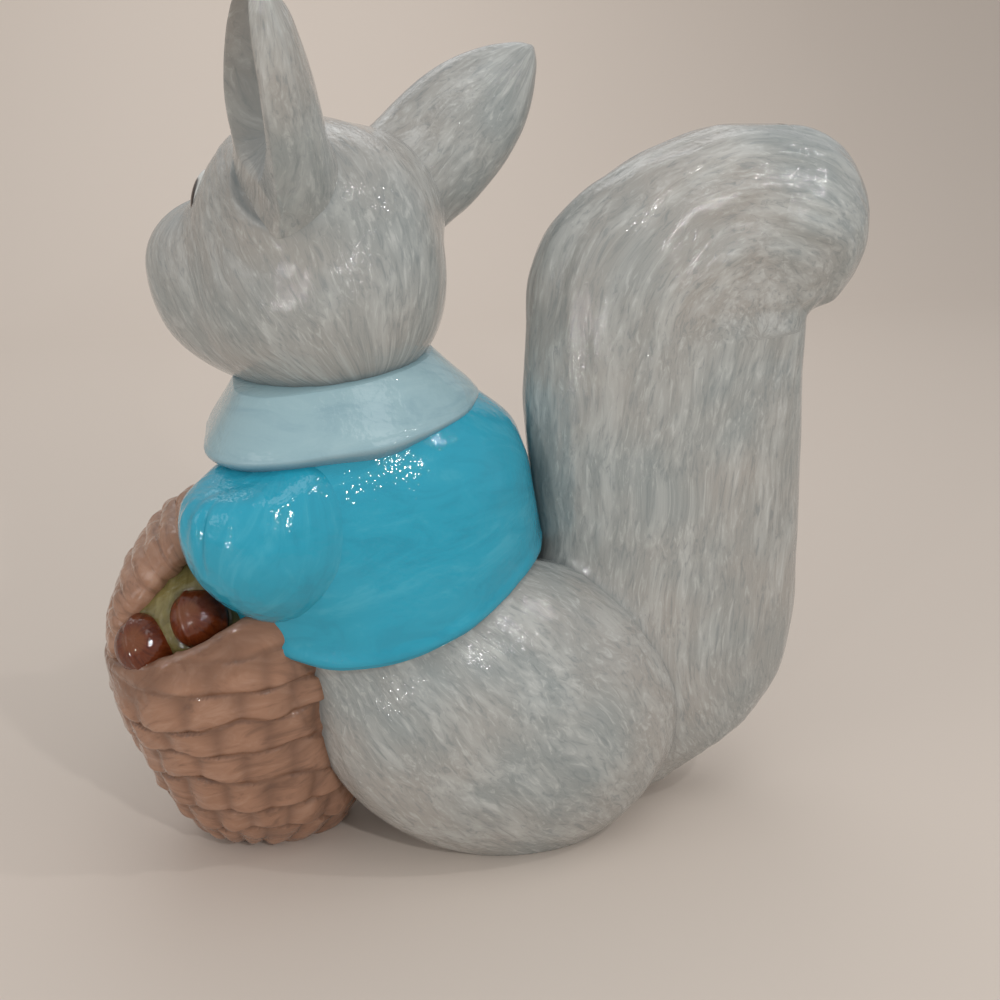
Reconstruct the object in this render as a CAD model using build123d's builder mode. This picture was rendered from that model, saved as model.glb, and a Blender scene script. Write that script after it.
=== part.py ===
from build123d import *
import copy
import math
import os

os.makedirs("parts", exist_ok=True)

# A squirrel figurine: a seated squirrel in a short jacket with a basket of chestnuts. It is
# slip-cast in hollow pieces that are luted together, painted and glazed. Millimetres. The
# squirrel faces -Y, its left side is +X, and the origin is on the ground, on the flat foot
# between the haunches. Shares are fractions of the sizes named beside them.

# Casting
wall = 4.5
overrun = 3.0
pour_hole_radius = 9.0
pour_hole_back = 38.0

# An egg's ovals stand at these turns from its lower pole, so that both poles end in a small flat
egg_turns = (6, 18, 36, 54, 72, 90, 108, 126, 144, 162, 174)

# Haunches, one egg each side of the middle
haunch_half_width = 38.0
haunch_half_length = 69.0
haunch_half_height = 57.0
haunch_middle_height = 51.0
haunch_spread = 20.0
haunch_back = 9.5
haunch_lean = 27.0

# Flat foot between the haunches: level ovals from the ground up into them
foot_half_width = 34.0
foot_half_length = 40.0
foot_back = 22.0
foot_rise = 30.0
foot_flare = 7.0

# Torso and the jacket over it: level ovals between the seat and the neck.
# Each row: share of the height, front and back as shares of the reach, width share.
torso_seat_height = 62.0
torso_height = 108.0
torso_reach = 56.0
torso_half_width = 54.0
torso_middle = -25.0
jacket_thickness = 3.5
torso_shares = (
    (0.00, 0.92, 0.92, 0.92),
    (0.16, 1.04, 0.97, 0.97),
    (0.32, 1.08, 0.98, 0.98),
    (0.48, 1.05, 0.965, 0.965),
    (0.64, 1.00, 0.92, 0.92),
    (0.77, 1.00, 0.87, 0.87),
    (0.88, 0.98, 0.76, 0.80),
    (1.00, 0.89, 0.43, 0.68),
)

# Hem of the jacket, seen from the side: distance behind the torso's middle as a share of
# its reach, and height above the seat as a share of its height
hem_shares = (
    (-1.30, 0.280),
    (-0.75, 0.253),
    (-0.45, 0.226),
    (-0.18, 0.242),
    (0.11, 0.274),
    (0.36, 0.317),
    (0.59, 0.371),
    (0.80, 0.419),
    (1.10, 0.440),
)

# Shawl collar: tilted ovals from the hem to the neck
collar_drop = 14.5
collar_half_width = 47.0
collar_half_length = 46.0
collar_rise = 21.5
collar_middle = -39.0
collar_tilt = 7.5
collar_shares = (
    (0.00, 0.98, 0.98),
    (0.10, 1.01, 1.01),
    (0.24, 0.985, 1.00),
    (0.60, 0.85, 0.90),
    (1.00, 0.70, 0.73),
)

# Head, in its own frame: it looks along its own -Y and is turned to the squirrel's right
head_turn = 44.0
head_roll = 6.0
head_middle = -43.0
head_side = -2.0
head_rise = 43.0
skull_half_width = 39.0
skull_half_length = 39.0
skull_half_height = 42.0
jowl_half_width = 37.0
jowl_half_length = 38.0
jowl_half_height = 30.0
jowl_drop = 16.0
muzzle_half_width = 29.0
muzzle_half_length = 30.0
muzzle_half_height = 24.0
muzzle_forward = 39.5
muzzle_drop = 7.0
chin_half_width = 26.0
chin_half_length = 38.0
chin_half_height = 22.0
chin_forward = 26.0
chin_drop = 22.0

# Eyes and nose, on the head
eye_half_width = 8.0
eye_half_height = 9.5
eye_half_depth = 4.0
eye_angle = 29.0
eye_rise = 15.5
eye_reach = 37.0
nose_half_width = 6.0
nose_half_height = 4.0
nose_half_depth = 4.5
nose_drop = 5.0
nose_forward = 68.0

# Ears: a leaf of ovals along its axis, scooped out on its front
ear_length = 66.0
ear_half_width = 21.0
ear_half_thickness = 18.0
ear_root_side = 33.0
ear_root_back = 7.0
ear_root_rise = 23.0
ear_outward_angle = 55.0
ear_lean_angle = 47.0
ear_open_angle = 58.0
ear_rim = 3.5
ear_scoop_forward = 9.0
ear_shares = (
    (-0.10, 0.80, 0.90),
    (0.08, 0.97, 0.98),
    (0.30, 1.00, 0.92),
    (0.52, 0.92, 0.80),
    (0.72, 0.72, 0.64),
    (0.88, 0.42, 0.46),
    (0.97, 0.18, 0.26),
    (1.00, 0.06, 0.11),
)

# Sleeves: puffed eggs on the shoulders
sleeve_half_width = 22.0
sleeve_half_length = 24.5
sleeve_half_height = 25.0
sleeve_side = 38.0
sleeve_drop = 39.0
left_sleeve_middle = -69.5
right_sleeve_middle = -58.0
right_sleeve_lower = 7.0

# Tail: level ovals that rise to a crest, and an egg behind the crest for the rolled tip.
# Rows: height share, front and back as shares of the depth, thickness share.
tail_height = 252.0
tail_depth = 105.0
tail_half_thickness = 28.0
tail_front = 23.0
tail_shares = (
    (0.000, 0.190, 0.400, 0.45),
    (0.022, 0.120, 0.555, 0.66),
    (0.059, 0.080, 0.700, 0.80),
    (0.099, 0.060, 0.850, 0.90),
    (0.172, 0.050, 0.985, 0.97),
    (0.263, 0.050, 1.030, 1.00),
    (0.380, 0.070, 1.030, 1.00),
    (0.497, 0.045, 1.015, 1.00),
    (0.621, 0.010, 1.000, 1.00),
    (0.731, 0.025, 0.990, 1.00),
    (0.815, 0.040, 0.985, 0.98),
    (0.884, 0.124, 0.995, 0.93),
    (0.936, 0.272, 0.995, 0.82),
    (0.972, 0.445, 0.960, 0.64),
    (0.992, 0.590, 0.890, 0.42),
    (1.000, 0.680, 0.810, 0.22),
)
tail_tip_half_width = 24.0
tail_tip_half_length = 31.5
tail_tip_half_height = 33.0
tail_tip_back = 117.0
tail_tip_height = 218.0

# Basket: an oval tapering bowl, one bulge for each woven course.
# Rows: height share, front and back as shares of the reach, width share
basket_middle = -80.0
basket_height = 108.0
basket_reach = 47.0
basket_half_width = 46.0
basket_courses = 10
basket_bulge = 1.6
basket_wall = 5.0
basket_floor = 6.0
basket_shares = (
    (0.00, 0.31, 0.70, 0.29),
    (0.035, 0.39, 0.77, 0.39),
    (0.08, 0.47, 0.84, 0.49),
    (0.15, 0.58, 0.90, 0.61),
    (0.24, 0.68, 0.94, 0.72),
    (0.37, 0.79, 0.95, 0.81),
    (0.55, 0.92, 0.92, 0.90),
    (0.74, 0.98, 0.88, 0.96),
    (1.00, 1.00, 0.85, 1.00),
)

# Rim of the basket, seen from the side: distance behind the basket's middle as a share of
# the reach, and height as a share of the basket's height
basket_rim_shares = (
    (-1.30, 0.715),
    (-0.77, 0.790),
    (-0.43, 0.865),
    (-0.16, 0.930),
    (0.06, 0.975),
    (1.20, 0.985),
)

# Handle: an arched band from the basket's front rim to the chest. Rows follow its crown:
# distance in front of the basket's middle as a share of the reach, and share of the rise
handle_half_width = 23.0
handle_thickness = 15.0
handle_reach = 47.0
handle_rise = 70.0
handle_foot_height = 70.0
handle_shares = (
    (0.880, 0.00),
    (0.930, 0.13),
    (0.930, 0.27),
    (0.860, 0.43),
    (0.735, 0.60),
    (0.550, 0.75),
    (0.306, 0.88),
    (0.040, 0.965),
    (-0.200, 1.00),
)

# Lining that heaps up under the handle, and the chestnuts on it
lining_half_width = 30.0
lining_half_length = 30.0
lining_half_height = 34.0
lining_middle = -89.0
lining_height = 82.0
nut_radius = 10.8
nut_side = 27.0
nut_front_middle = -109.0
nut_front_height = 92.0
nut_rear_middle = -91.5
nut_rear_height = 99.5


def fresh(solid):
    """A new copy of a solid, so that every cut starts from clean edges."""
    return copy.deepcopy(solid)


def tilted_ovals(rows):
    """Loft through ovals, each given as its plane, half width and half length."""
    with BuildPart(mode=Mode.PRIVATE) as form:
        for place, half_width, half_length in rows:
            with BuildSketch(place):
                with BuildLine():
                    EllipticalCenterArc((0, 0), half_width, half_length, start_angle=0, arc_size=180)
                    EllipticalCenterArc((0, 0), half_width, half_length, start_angle=180, arc_size=180)
                make_face()
        loft()
    return form.part


def level_ovals(rows):
    """Loft through level ovals, each given as height, front, back and half width."""
    tilted = []
    for height, front, back, half_width in rows:
        tilted.append((Plane((0, (front + back) / 2, height)), half_width, (back - front) / 2))
    return tilted_ovals(tilted)


def egg(half_width, half_length, half_height):
    """A closed egg shape about its own middle: level ovals at even turns from pole to pole."""
    rows = []
    for turn in egg_turns:
        angle = math.radians(turn)
        length = half_length * math.sin(angle)
        rows.append((-half_height * math.cos(angle), -length, length, half_width * math.sin(angle)))
    return level_ovals(rows)


def leaning_plane(origin, lean):
    """A level plane at the origin, leaning so that its back edge stands higher by the angle."""
    tilt = math.radians(lean)
    return Plane(origin=origin, x_dir=(1, 0, 0), z_dir=(0, -math.sin(tilt), math.cos(tilt)))


def torso_form(inset):
    """The torso from the seat to the neck, drawn in all round by the inset."""
    rows = []
    for height, front, back, width in torso_shares:
        level = torso_seat_height + height * torso_height
        low = torso_middle - front * torso_reach + inset
        high = torso_middle + back * torso_reach - inset
        rows.append((level, low, high, width * torso_half_width - inset))
    return level_ovals(rows)


def haunch_forms(inset):
    """Both haunches, each an egg that leans down to the back, drawn in by the inset."""
    form = egg(haunch_half_width - inset, haunch_half_length - inset, haunch_half_height - inset)
    places = []
    for side in (-1, 1):
        places.append(Pos(side * haunch_spread, haunch_back, haunch_middle_height))
    return [place * Rot(-haunch_lean, 0, 0) * fresh(form) for place in places]


def foot_form(inset):
    """The flat foot that fills the space between the haunches, drawn in by the inset."""
    rows = []
    for level, flare in ((inset - overrun, 0), (inset, 0), (foot_rise, foot_flare)):
        reach = foot_half_length + flare - inset
        rows.append((level, foot_back - reach, foot_back + reach, foot_half_width + flare - inset))
    return level_ovals(rows)


def core_form(inset):
    """The chest under the jacket, cut along the hem, drawn in by the inset."""
    chest = torso_form(jacket_thickness + inset)
    with BuildPart(mode=Mode.PRIVATE) as form:
        add(chest)
        with Locations((0, 0, inset)):
            add(fresh(below_hem), mode=Mode.SUBTRACT)
    return form.part


def body_form(inset):
    """Haunches, foot and chest as one solid, cut flat at the bottom, drawn in by the inset."""
    pieces = haunch_forms(inset) + [foot_form(inset), core_form(inset)]
    with BuildPart(mode=Mode.PRIVATE) as form:
        for piece in pieces:
            add(piece)
        split(bisect_by=Plane.XY.offset(inset), keep=Keep.TOP)
    return form.part


def tail_form(inset):
    """The tail without its rolled tip, drawn in by the inset; a void leaves out both ends."""
    rows = []
    for height, front, back, thickness in tail_shares:
        low = tail_front + front * tail_depth + inset
        high = tail_front + back * tail_depth - inset
        rows.append((height * tail_height, low, high, thickness * tail_half_thickness - inset))
    if inset > 0:
        rows = rows[2:-3]
    return level_ovals(rows)


def collar_form():
    """The shawl collar as a solid of tilted ovals from its hem to the neck."""
    rows = []
    for rise, width, length in collar_shares:
        origin = (0, collar_middle, collar_foot_height + rise * collar_rise)
        place = leaning_plane(origin, collar_tilt)
        rows.append((place, width * collar_half_width, length * collar_half_length))
    return tilted_ovals(rows)


def share_at(rows, height, column):
    """Read one column of a table of shares at a height share between two of its rows."""
    for low, high in zip(rows, rows[1:]):
        if height <= high[0]:
            step = (height - low[0]) / (high[0] - low[0])
            return low[column] + step * (high[column] - low[column])
    return rows[-1][column]


def basket_form(inset):
    """The basket: level ovals that taper to its foot and swell once for each woven course."""
    steps = 4 * basket_courses
    rows = []
    for step in range(steps + 1):
        height = step / steps
        swell = basket_bulge * math.sin(math.pi * height * basket_courses) ** 2 - inset
        front = basket_middle - share_at(basket_shares, height, 1) * basket_reach - swell
        back = basket_middle + share_at(basket_shares, height, 2) * basket_reach + swell
        half_width = share_at(basket_shares, height, 3) * basket_half_width + swell
        rows.append((height * basket_height, front, back, half_width))
    if inset > 0:
        rows = [row for row in rows if row[0] > basket_floor and row[3] > inset]
    return level_ovals(rows)


def handle_form(inset):
    """The arched handle: ovals carried up from the basket's front rim to the chest."""
    crown = []
    for reach, rise in handle_shares:
        crown.append((basket_middle - reach * handle_reach, handle_foot_height + rise * handle_rise))
    rows = []
    for index, (back, up) in enumerate(crown):
        before = crown[max(index - 1, 0)]
        after = crown[min(index + 1, len(crown) - 1)]
        along = Vector(0, after[0] - before[0], after[1] - before[1]).normalized()
        inward = Vector(0, along.Z, -along.Y)
        middle = Vector(0, back, up) + inward * (handle_thickness / 2)
        place = Plane(origin=tuple(middle), x_dir=(1, 0, 0), z_dir=tuple(along))
        rows.append((place, handle_half_width - inset, handle_thickness / 2 - inset))
    return tilted_ovals(rows)


neck_height = torso_seat_height + torso_height
collar_foot_height = neck_height - collar_drop
head_height = neck_height + head_rise
sleeve_height = neck_height - sleeve_drop
turn = math.radians(head_turn)
roll = math.radians(head_roll)
head_place = Plane(
    origin=(head_side, head_middle, head_height),
    x_dir=(math.cos(turn) * math.cos(roll), -math.sin(turn) * math.cos(roll), math.sin(roll)),
    z_dir=(-math.cos(turn) * math.sin(roll), math.sin(turn) * math.sin(roll), math.cos(roll)),
)


def head_form(inset):
    """Skull, jowls, muzzle and chin as one solid, drawn in all round by the inset."""
    skull = egg(skull_half_width - inset, skull_half_length - inset, skull_half_height - inset)
    jowl = egg(jowl_half_width - inset, jowl_half_length - inset, jowl_half_height - inset)
    muzzle = egg(muzzle_half_width - inset, muzzle_half_length - inset, muzzle_half_height - inset)
    chin = egg(chin_half_width - inset, chin_half_length - inset, chin_half_height - inset)
    with BuildPart(head_place, mode=Mode.PRIVATE) as form:
        add(skull)
        with Locations((0, 0, -jowl_drop)):
            add(jowl)
        with Locations((0, -muzzle_forward, -muzzle_drop)):
            add(muzzle)
        with Locations((0, -chin_forward, -chin_drop)):
            add(chin)
    return form.part


def ear_place(side):
    """The frame at an ear's root: its Z runs along the ear and its Y faces the ear's back."""
    outward = math.radians(ear_outward_angle)
    lean = math.radians(ear_lean_angle)
    opening = math.radians(ear_open_angle)
    level = math.cos(lean)
    axis = Vector(side * level * math.sin(outward), level * math.cos(outward), math.sin(lean))
    back = Vector(-side * math.sin(opening), math.cos(opening), 0)
    root = Plane(
        origin=(side * ear_root_side, ear_root_back, ear_root_rise),
        x_dir=tuple(back.cross(axis)),
        z_dir=tuple(axis),
    )
    return Plane(head_place.location * root.location)


def ear_form(side, inset, forward):
    """A leaf of ovals along the ear, drawn in by the inset and moved to its open side."""
    place = ear_place(side)
    rows = []
    for along, width, thickness in ear_shares:
        middle = place.from_local_coords(Vector(0, -forward, along * (ear_length - inset)))
        section = Plane(origin=tuple(middle), x_dir=tuple(place.x_dir), z_dir=tuple(place.z_dir))
        half_width = width * (ear_half_width - inset)
        rows.append((section, half_width, thickness * (ear_half_thickness - inset)))
    return tilted_ovals(rows)


def side_band(rows, low, clear):
    """A solid right across the figure under a curve seen from the side, for cutting hems and rims."""
    with BuildPart(mode=Mode.PRIVATE) as form:
        with BuildSketch(Plane.YZ):
            with BuildLine():
                Spline(rows)
                Polyline(rows[-1], (rows[-1][0], low), (rows[0][0], low), rows[0])
            make_face()
        extrude(amount=clear, both=True)
    return form.part


hem_rows = [
    (torso_middle + back * torso_reach, torso_seat_height + height * torso_height)
    for back, height in hem_shares
]
below_hem = side_band(hem_rows, 0, 2 * torso_half_width)
body_outer = body_form(0)
body_pieces = haunch_forms(0) + [foot_form(0), core_form(0)]
body_void = body_form(wall)
torso_outer = torso_form(0)
tail_outer = tail_form(0)
tip_egg = egg(tail_tip_half_width, tail_tip_half_length, tail_tip_half_height)
tip_outer = Pos(0, tail_tip_back, tail_tip_height) * tip_egg
tail_void = tail_form(wall)
collar_outer = collar_form()
head_outer = head_form(0)
head_void = head_form(wall)
basket_outer = basket_form(0)
basket_void = basket_form(basket_wall)
handle_outer = handle_form(0)
sleeve_egg = egg(sleeve_half_width, sleeve_half_length, sleeve_half_height)
eye_egg = egg(eye_half_width, eye_half_depth, eye_half_height)
nose_egg = egg(nose_half_width, nose_half_depth, nose_half_height)
lining_egg = egg(lining_half_width, lining_half_length, lining_half_height)
nut_ball = egg(nut_radius, nut_radius, nut_radius)

rim_rows = [
    (basket_middle + back * basket_reach, height * basket_height)
    for back, height in basket_rim_shares
]
below_rim = side_band(rim_rows, -overrun, 2 * basket_half_width)


with BuildPart(mode=Mode.PRIVATE) as jacket_outer:
    add(fresh(torso_outer))
    add(fresh(below_hem), mode=Mode.SUBTRACT)

with BuildPart() as body_casting:
    add(fresh(body_outer))
    add(fresh(body_void), mode=Mode.SUBTRACT)
    with Locations((0, pour_hole_back, 0)):
        Cylinder(
            pour_hole_radius,
            wall + overrun,
            align=(Align.CENTER, Align.CENTER, Align.MIN),
            mode=Mode.SUBTRACT,
        )
body_casting.part.label = "body_casting"
export_step(body_casting.part, "parts/body_casting.step")

with BuildPart() as tail_casting:
    add(fresh(tail_outer))
    add(fresh(tip_outer))
    add(fresh(tail_void), mode=Mode.SUBTRACT)
    for piece in body_pieces:
        add(fresh(piece), mode=Mode.SUBTRACT)
tail_casting.part.label = "tail_casting"
export_step(tail_casting.part, "parts/tail_casting.step")

with BuildPart() as jacket:
    add(fresh(jacket_outer.part))
    for piece in body_pieces:
        add(fresh(piece), mode=Mode.SUBTRACT)
    add(fresh(tail_outer), mode=Mode.SUBTRACT)
    add(fresh(collar_outer), mode=Mode.SUBTRACT)
    add(fresh(head_outer), mode=Mode.SUBTRACT)
jacket.part.label = "jacket"
export_step(jacket.part, "parts/jacket.step")

with BuildPart() as collar:
    add(fresh(collar_outer))
    for piece in body_pieces:
        add(fresh(piece), mode=Mode.SUBTRACT)
collar.part.label = "collar"
export_step(collar.part, "parts/collar.step")

with BuildPart() as head_casting:
    add(fresh(head_outer))
    add(fresh(head_void), mode=Mode.SUBTRACT)
    for piece in body_pieces:
        add(fresh(piece), mode=Mode.SUBTRACT)
    add(fresh(collar_outer), mode=Mode.SUBTRACT)
head_casting.part.label = "head_casting"
export_step(head_casting.part, "parts/head_casting.step")

for side, name in ((1, "left_ear"), (-1, "right_ear")):
    leaf = ear_form(side, 0, 0)
    scoop = ear_form(side, ear_rim, ear_scoop_forward)
    with BuildPart() as ear:
        add(leaf)
        add(scoop, mode=Mode.SUBTRACT)
        add(fresh(head_outer), mode=Mode.SUBTRACT)
    ear.part.label = name
    export_step(ear.part, f"parts/{name}.step")

for side, name in ((1, "left_eye"), (-1, "right_eye")):
    outward = math.radians(eye_angle)
    place = Plane(
        origin=(side * eye_reach * math.sin(outward), -eye_reach * math.cos(outward), eye_rise),
        x_dir=(math.cos(outward), side * math.sin(outward), 0),
        z_dir=(0, 0, 1),
    )
    with BuildPart() as eye:
        add(head_place.location * place.location * fresh(eye_egg))
        add(fresh(head_outer), mode=Mode.SUBTRACT)
    eye.part.label = name
    export_step(eye.part, f"parts/{name}.step")

with BuildPart() as nose:
    add(head_place.location * Pos(0, -nose_forward, -nose_drop) * fresh(nose_egg))
    add(fresh(head_outer), mode=Mode.SUBTRACT)
nose.part.label = "nose"
export_step(nose.part, "parts/nose.step")

puffs = []
for side, name, middle, lower in (
    (1, "left_sleeve", left_sleeve_middle, 0),
    (-1, "right_sleeve", right_sleeve_middle, right_sleeve_lower),
):
    puff = Pos(side * sleeve_side, middle, sleeve_height - lower) * fresh(sleeve_egg)
    puffs.append(puff)
    with BuildPart() as sleeve:
        add(fresh(puff))
        add(fresh(torso_outer), mode=Mode.SUBTRACT)
        add(fresh(collar_outer), mode=Mode.SUBTRACT)
    sleeve.part.label = name
    export_step(sleeve.part, f"parts/{name}.step")

with BuildPart(mode=Mode.PRIVATE) as basket_solid:
    add(fresh(basket_outer))
    add(fresh(below_rim), mode=Mode.INTERSECT)

with BuildPart(mode=Mode.PRIVATE) as bowl:
    add(fresh(basket_solid.part))
    add(fresh(basket_void), mode=Mode.SUBTRACT)
    for piece in body_pieces:
        add(fresh(piece), mode=Mode.SUBTRACT)
    add(fresh(jacket_outer.part), mode=Mode.SUBTRACT)
    for puff in puffs:
        add(fresh(puff), mode=Mode.SUBTRACT)

# A sliver of the wall that the haunches and the jacket cut off between them is left out
with BuildPart() as basket:
    add(bowl.part.solids().sort_by(SortBy.VOLUME)[-1])
basket.part.label = "basket"
export_step(basket.part, "parts/basket.step")

with BuildPart() as basket_handle:
    add(fresh(handle_outer))
    add(fresh(basket_solid.part), mode=Mode.SUBTRACT)
    add(fresh(torso_outer), mode=Mode.SUBTRACT)
    add(fresh(collar_outer), mode=Mode.SUBTRACT)
    for puff in puffs:
        add(fresh(puff), mode=Mode.SUBTRACT)
basket_handle.part.label = "basket_handle"
export_step(basket_handle.part, "parts/basket_handle.step")

nuts = {}
for side, side_name in ((1, "left"), (-1, "right")):
    front = Pos(side * nut_side, nut_front_middle, nut_front_height) * fresh(nut_ball)
    rear = Pos(side * nut_side, nut_rear_middle, nut_rear_height) * fresh(nut_ball)
    nuts[f"{side_name}_front_chestnut"] = (front, [rear])
    nuts[f"{side_name}_rear_chestnut"] = (rear, [])

with BuildPart() as basket_lining:
    with Locations((0, lining_middle, lining_height)):
        add(fresh(lining_egg))
    add(fresh(basket.part), mode=Mode.SUBTRACT)
    add(fresh(handle_outer), mode=Mode.SUBTRACT)
    for piece in body_pieces:
        add(fresh(piece), mode=Mode.SUBTRACT)
    add(fresh(torso_outer), mode=Mode.SUBTRACT)
    for puff in puffs:
        add(fresh(puff), mode=Mode.SUBTRACT)
    for nut, neighbours in nuts.values():
        add(fresh(nut), mode=Mode.SUBTRACT)
basket_lining.part.label = "basket_lining"
export_step(basket_lining.part, "parts/basket_lining.step")

for name, (nut, neighbours) in nuts.items():
    with BuildPart() as chestnut:
        add(fresh(nut))
        for other in [basket.part, basket_handle.part] + puffs + neighbours:
            add(fresh(other), mode=Mode.SUBTRACT)
    chestnut.part.label = name
    export_step(chestnut.part, f"parts/{name}.step")
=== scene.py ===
"""Looks of the glazed squirrel figurine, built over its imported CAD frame.

Every visible casting is a closed surface worked out in millimetres on a grid of rings, softened
where it meets its neighbours as luted clay is, and dressed in a hand-painted, glazed finish.
The squirrel faces -Y, its left side is +X, and the origin is on the ground.
"""

import logging
from dataclasses import dataclass
from enum import Enum
from itertools import product

import bpy
import numpy as np
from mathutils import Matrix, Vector


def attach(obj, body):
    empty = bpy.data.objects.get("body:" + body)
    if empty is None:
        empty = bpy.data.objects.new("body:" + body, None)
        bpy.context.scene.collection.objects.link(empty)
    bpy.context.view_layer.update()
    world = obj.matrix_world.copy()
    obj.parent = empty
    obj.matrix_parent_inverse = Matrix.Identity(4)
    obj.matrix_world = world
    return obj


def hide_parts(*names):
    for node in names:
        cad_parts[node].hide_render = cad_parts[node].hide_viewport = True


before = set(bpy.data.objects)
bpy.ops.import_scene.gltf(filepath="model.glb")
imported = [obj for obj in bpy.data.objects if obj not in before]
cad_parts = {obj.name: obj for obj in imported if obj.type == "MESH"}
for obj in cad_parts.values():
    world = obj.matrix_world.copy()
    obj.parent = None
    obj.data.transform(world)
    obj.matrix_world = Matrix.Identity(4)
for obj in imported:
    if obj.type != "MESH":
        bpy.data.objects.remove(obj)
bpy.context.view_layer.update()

MM = 0.001
UP = np.array((0.0, 0.0, 1.0))
LEVEL = np.array((1.0, 1.0, 0.0))  # what a vector is multiplied by to lie level
log = logging.getLogger("squirrel")
Points = np.ndarray
Rows = tuple[tuple[float, ...], ...]
Pair = tuple[float, float]
Triple = tuple[float, float, float]
Wave = tuple[float, float, int]
Colour = tuple[float, float, float, float]
Tree = bpy.types.NodeTree
Socket = bpy.types.NodeSocket


class Side(Enum):
    """A side of the squirrel; the value is the sign of X there."""

    LEFT = 1
    RIGHT = -1

    def named(self, part: str) -> str:
        """The part's name with this side before it."""
        return f"{self.name.lower()}_{part}"


# ---------------------------------------------------------------- small sums on whole arrays


def unit(vectors: Points) -> Points:
    """Vectors of length one along the last axis."""
    return vectors / np.maximum(np.linalg.norm(vectors, axis=-1, keepdims=True), 1e-9)


def ramp(values: Points, start: float, length: float) -> Points:
    """A share that is 0 up to a start and grows evenly to 1 over a length."""
    return np.clip((values - start) / length, 0, 1)


def ease(share: Points) -> Points:
    """3t^2 - 2t^3: a share made level at both its ends."""
    return share * share * (3 - 2 * share)


def bell(values: Points, middle: float, width: float) -> Points:
    """exp(-((x - middle) / width)^2): a soft bump of height 1."""
    return np.exp(-(((values - middle) / width) ** 2))


def squarer(turn: Points, power: Points) -> Points:
    """How far out |x|^n + |y|^n = 1 lies at a turn: a circle at n = 2, squarer above it."""
    return (np.abs(np.cos(turn)) ** power + np.abs(np.sin(turn)) ** power) ** (-1 / power)


def smooth_read(at: Points, places: Points, values: Points) -> Points:
    """Read a curve through the values: a cubic Hermite whose slopes are the rows' own gradients.

    Args:
        at: where to read it.
        places: rising places of the rows.
        values: one value at each place.

    Returns:
        The curve's value at each place asked for, held level beyond both ends.
    """
    at = np.clip(at, places[0], places[-1])
    row = np.clip(np.searchsorted(places, at, side="right") - 1, 0, len(places) - 2)
    slope = np.gradient(values, places)
    step = places[row + 1] - places[row]
    t = (at - places[row]) / step
    rise = values[row] * (1 + 2 * t) * (1 - t) ** 2 + values[row + 1] * t * t * (3 - 2 * t)
    return rise + step * t * (1 - t) * (slope[row] * (1 - t) - slope[row + 1] * t)


def lattice_noise(places: Points, seed: int) -> Points:
    """Smooth random heights from -1 to 1: values on a unit lattice, blended by 3t^2 - 2t^3.

    Args:
        places: points, three numbers each, in lattice steps.
        seed: which lattice.

    Returns:
        One height for each point.
    """
    side = 64
    values = np.random.default_rng(seed).uniform(-1, 1, (side, side, side))
    cell = np.floor(places).astype(int)
    t = ease(places - cell)
    total = np.zeros(places.shape[:-1])
    for corner in product((0, 1), repeat=3):
        weight = np.prod(np.where(corner, t, 1 - t), axis=-1)
        total += weight * values[tuple(np.moveaxis((cell + corner) % side, -1, 0))]
    return total


def uneven(points: Points, *waves: Wave) -> Points:
    """Random heights summed from waves: each has a height and a spacing in mm, and a seed."""
    return sum(height * lattice_noise(points / spacing, seed) for height, spacing, seed in waves)


def soft_union(first: Points, second: Points, width: float) -> Points:
    """The lower of two fields, rounded over a width: min minus width/4 (1 - gap/width)^2."""
    lap = np.maximum(width - np.abs(first - second), 0) / width
    return np.minimum(first, second) - lap * lap * width / 4


# ---------------------------------------------------------------- places and soft forms


@dataclass(frozen=True)
class Place:
    """A turned place: its origin in millimetres and its three unit axes as rows."""

    origin: Points
    axes: Points

    @staticmethod
    def standing(origin: Triple, lean: float = 0.0) -> "Place":
        """A place that leans about X.

        Args:
            origin: its origin, in millimetres.
            lean: how far its Z leans to the back, in degrees.

        Returns:
            The place.
        """
        lean = np.radians(lean)
        axes = ((1, 0, 0), (0, np.cos(lean), -np.sin(lean)), (0, np.sin(lean), np.cos(lean)))
        return Place(np.array(origin), np.array(axes, float))

    def world(self, local: Points) -> Points:
        """Points of this place in the figurine's frame."""
        return self.origin + np.asarray(local, float) @ self.axes

    def local(self, points: Points) -> Points:
        """The figurine's points in this place's frame."""
        return (points - self.origin) @ self.axes.T

    def inner(self, origin: Triple, along: Points, back: Points) -> "Place":
        """A place inside this one.

        Args:
            origin: its origin.
            along: its Z, of length one.
            back: the side that its Y faces; its X is across this and along.

        Returns:
            The place, in the figurine's frame.
        """
        across = unit(np.cross(back, along))
        axes = np.array([across, np.cross(along, across), along])
        return Place(self.world(origin), axes @ self.axes)


GROUND = Place.standing((0.0, 0.0, 0.0))


class Form:
    """A soft form given by a field: below zero inside it, and about the distance outside it."""

    def field(self, points: Points) -> Points:
        """The field at each point, in millimetres."""
        raise NotImplementedError


@dataclass(frozen=True)
class Egg(Form):
    """An ellipsoid at a place, with its middle in that place's frame."""

    middle: Triple
    half: Triple
    place: Place = GROUND

    def field(self, points: Points) -> Points:
        """k (k - 1) / |p / a^2|: p runs from the middle, a is the half sizes, k is |p / a|.

        Args:
            points: where, in millimetres.

        Returns:
            The field at each point.
        """
        local = self.place.local(points) - self.middle
        k = np.linalg.norm(local / self.half, axis=-1)
        steep = np.linalg.norm(local / np.square(self.half), axis=-1)
        return k * (k - 1) / np.maximum(steep, 1e-6)


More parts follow.
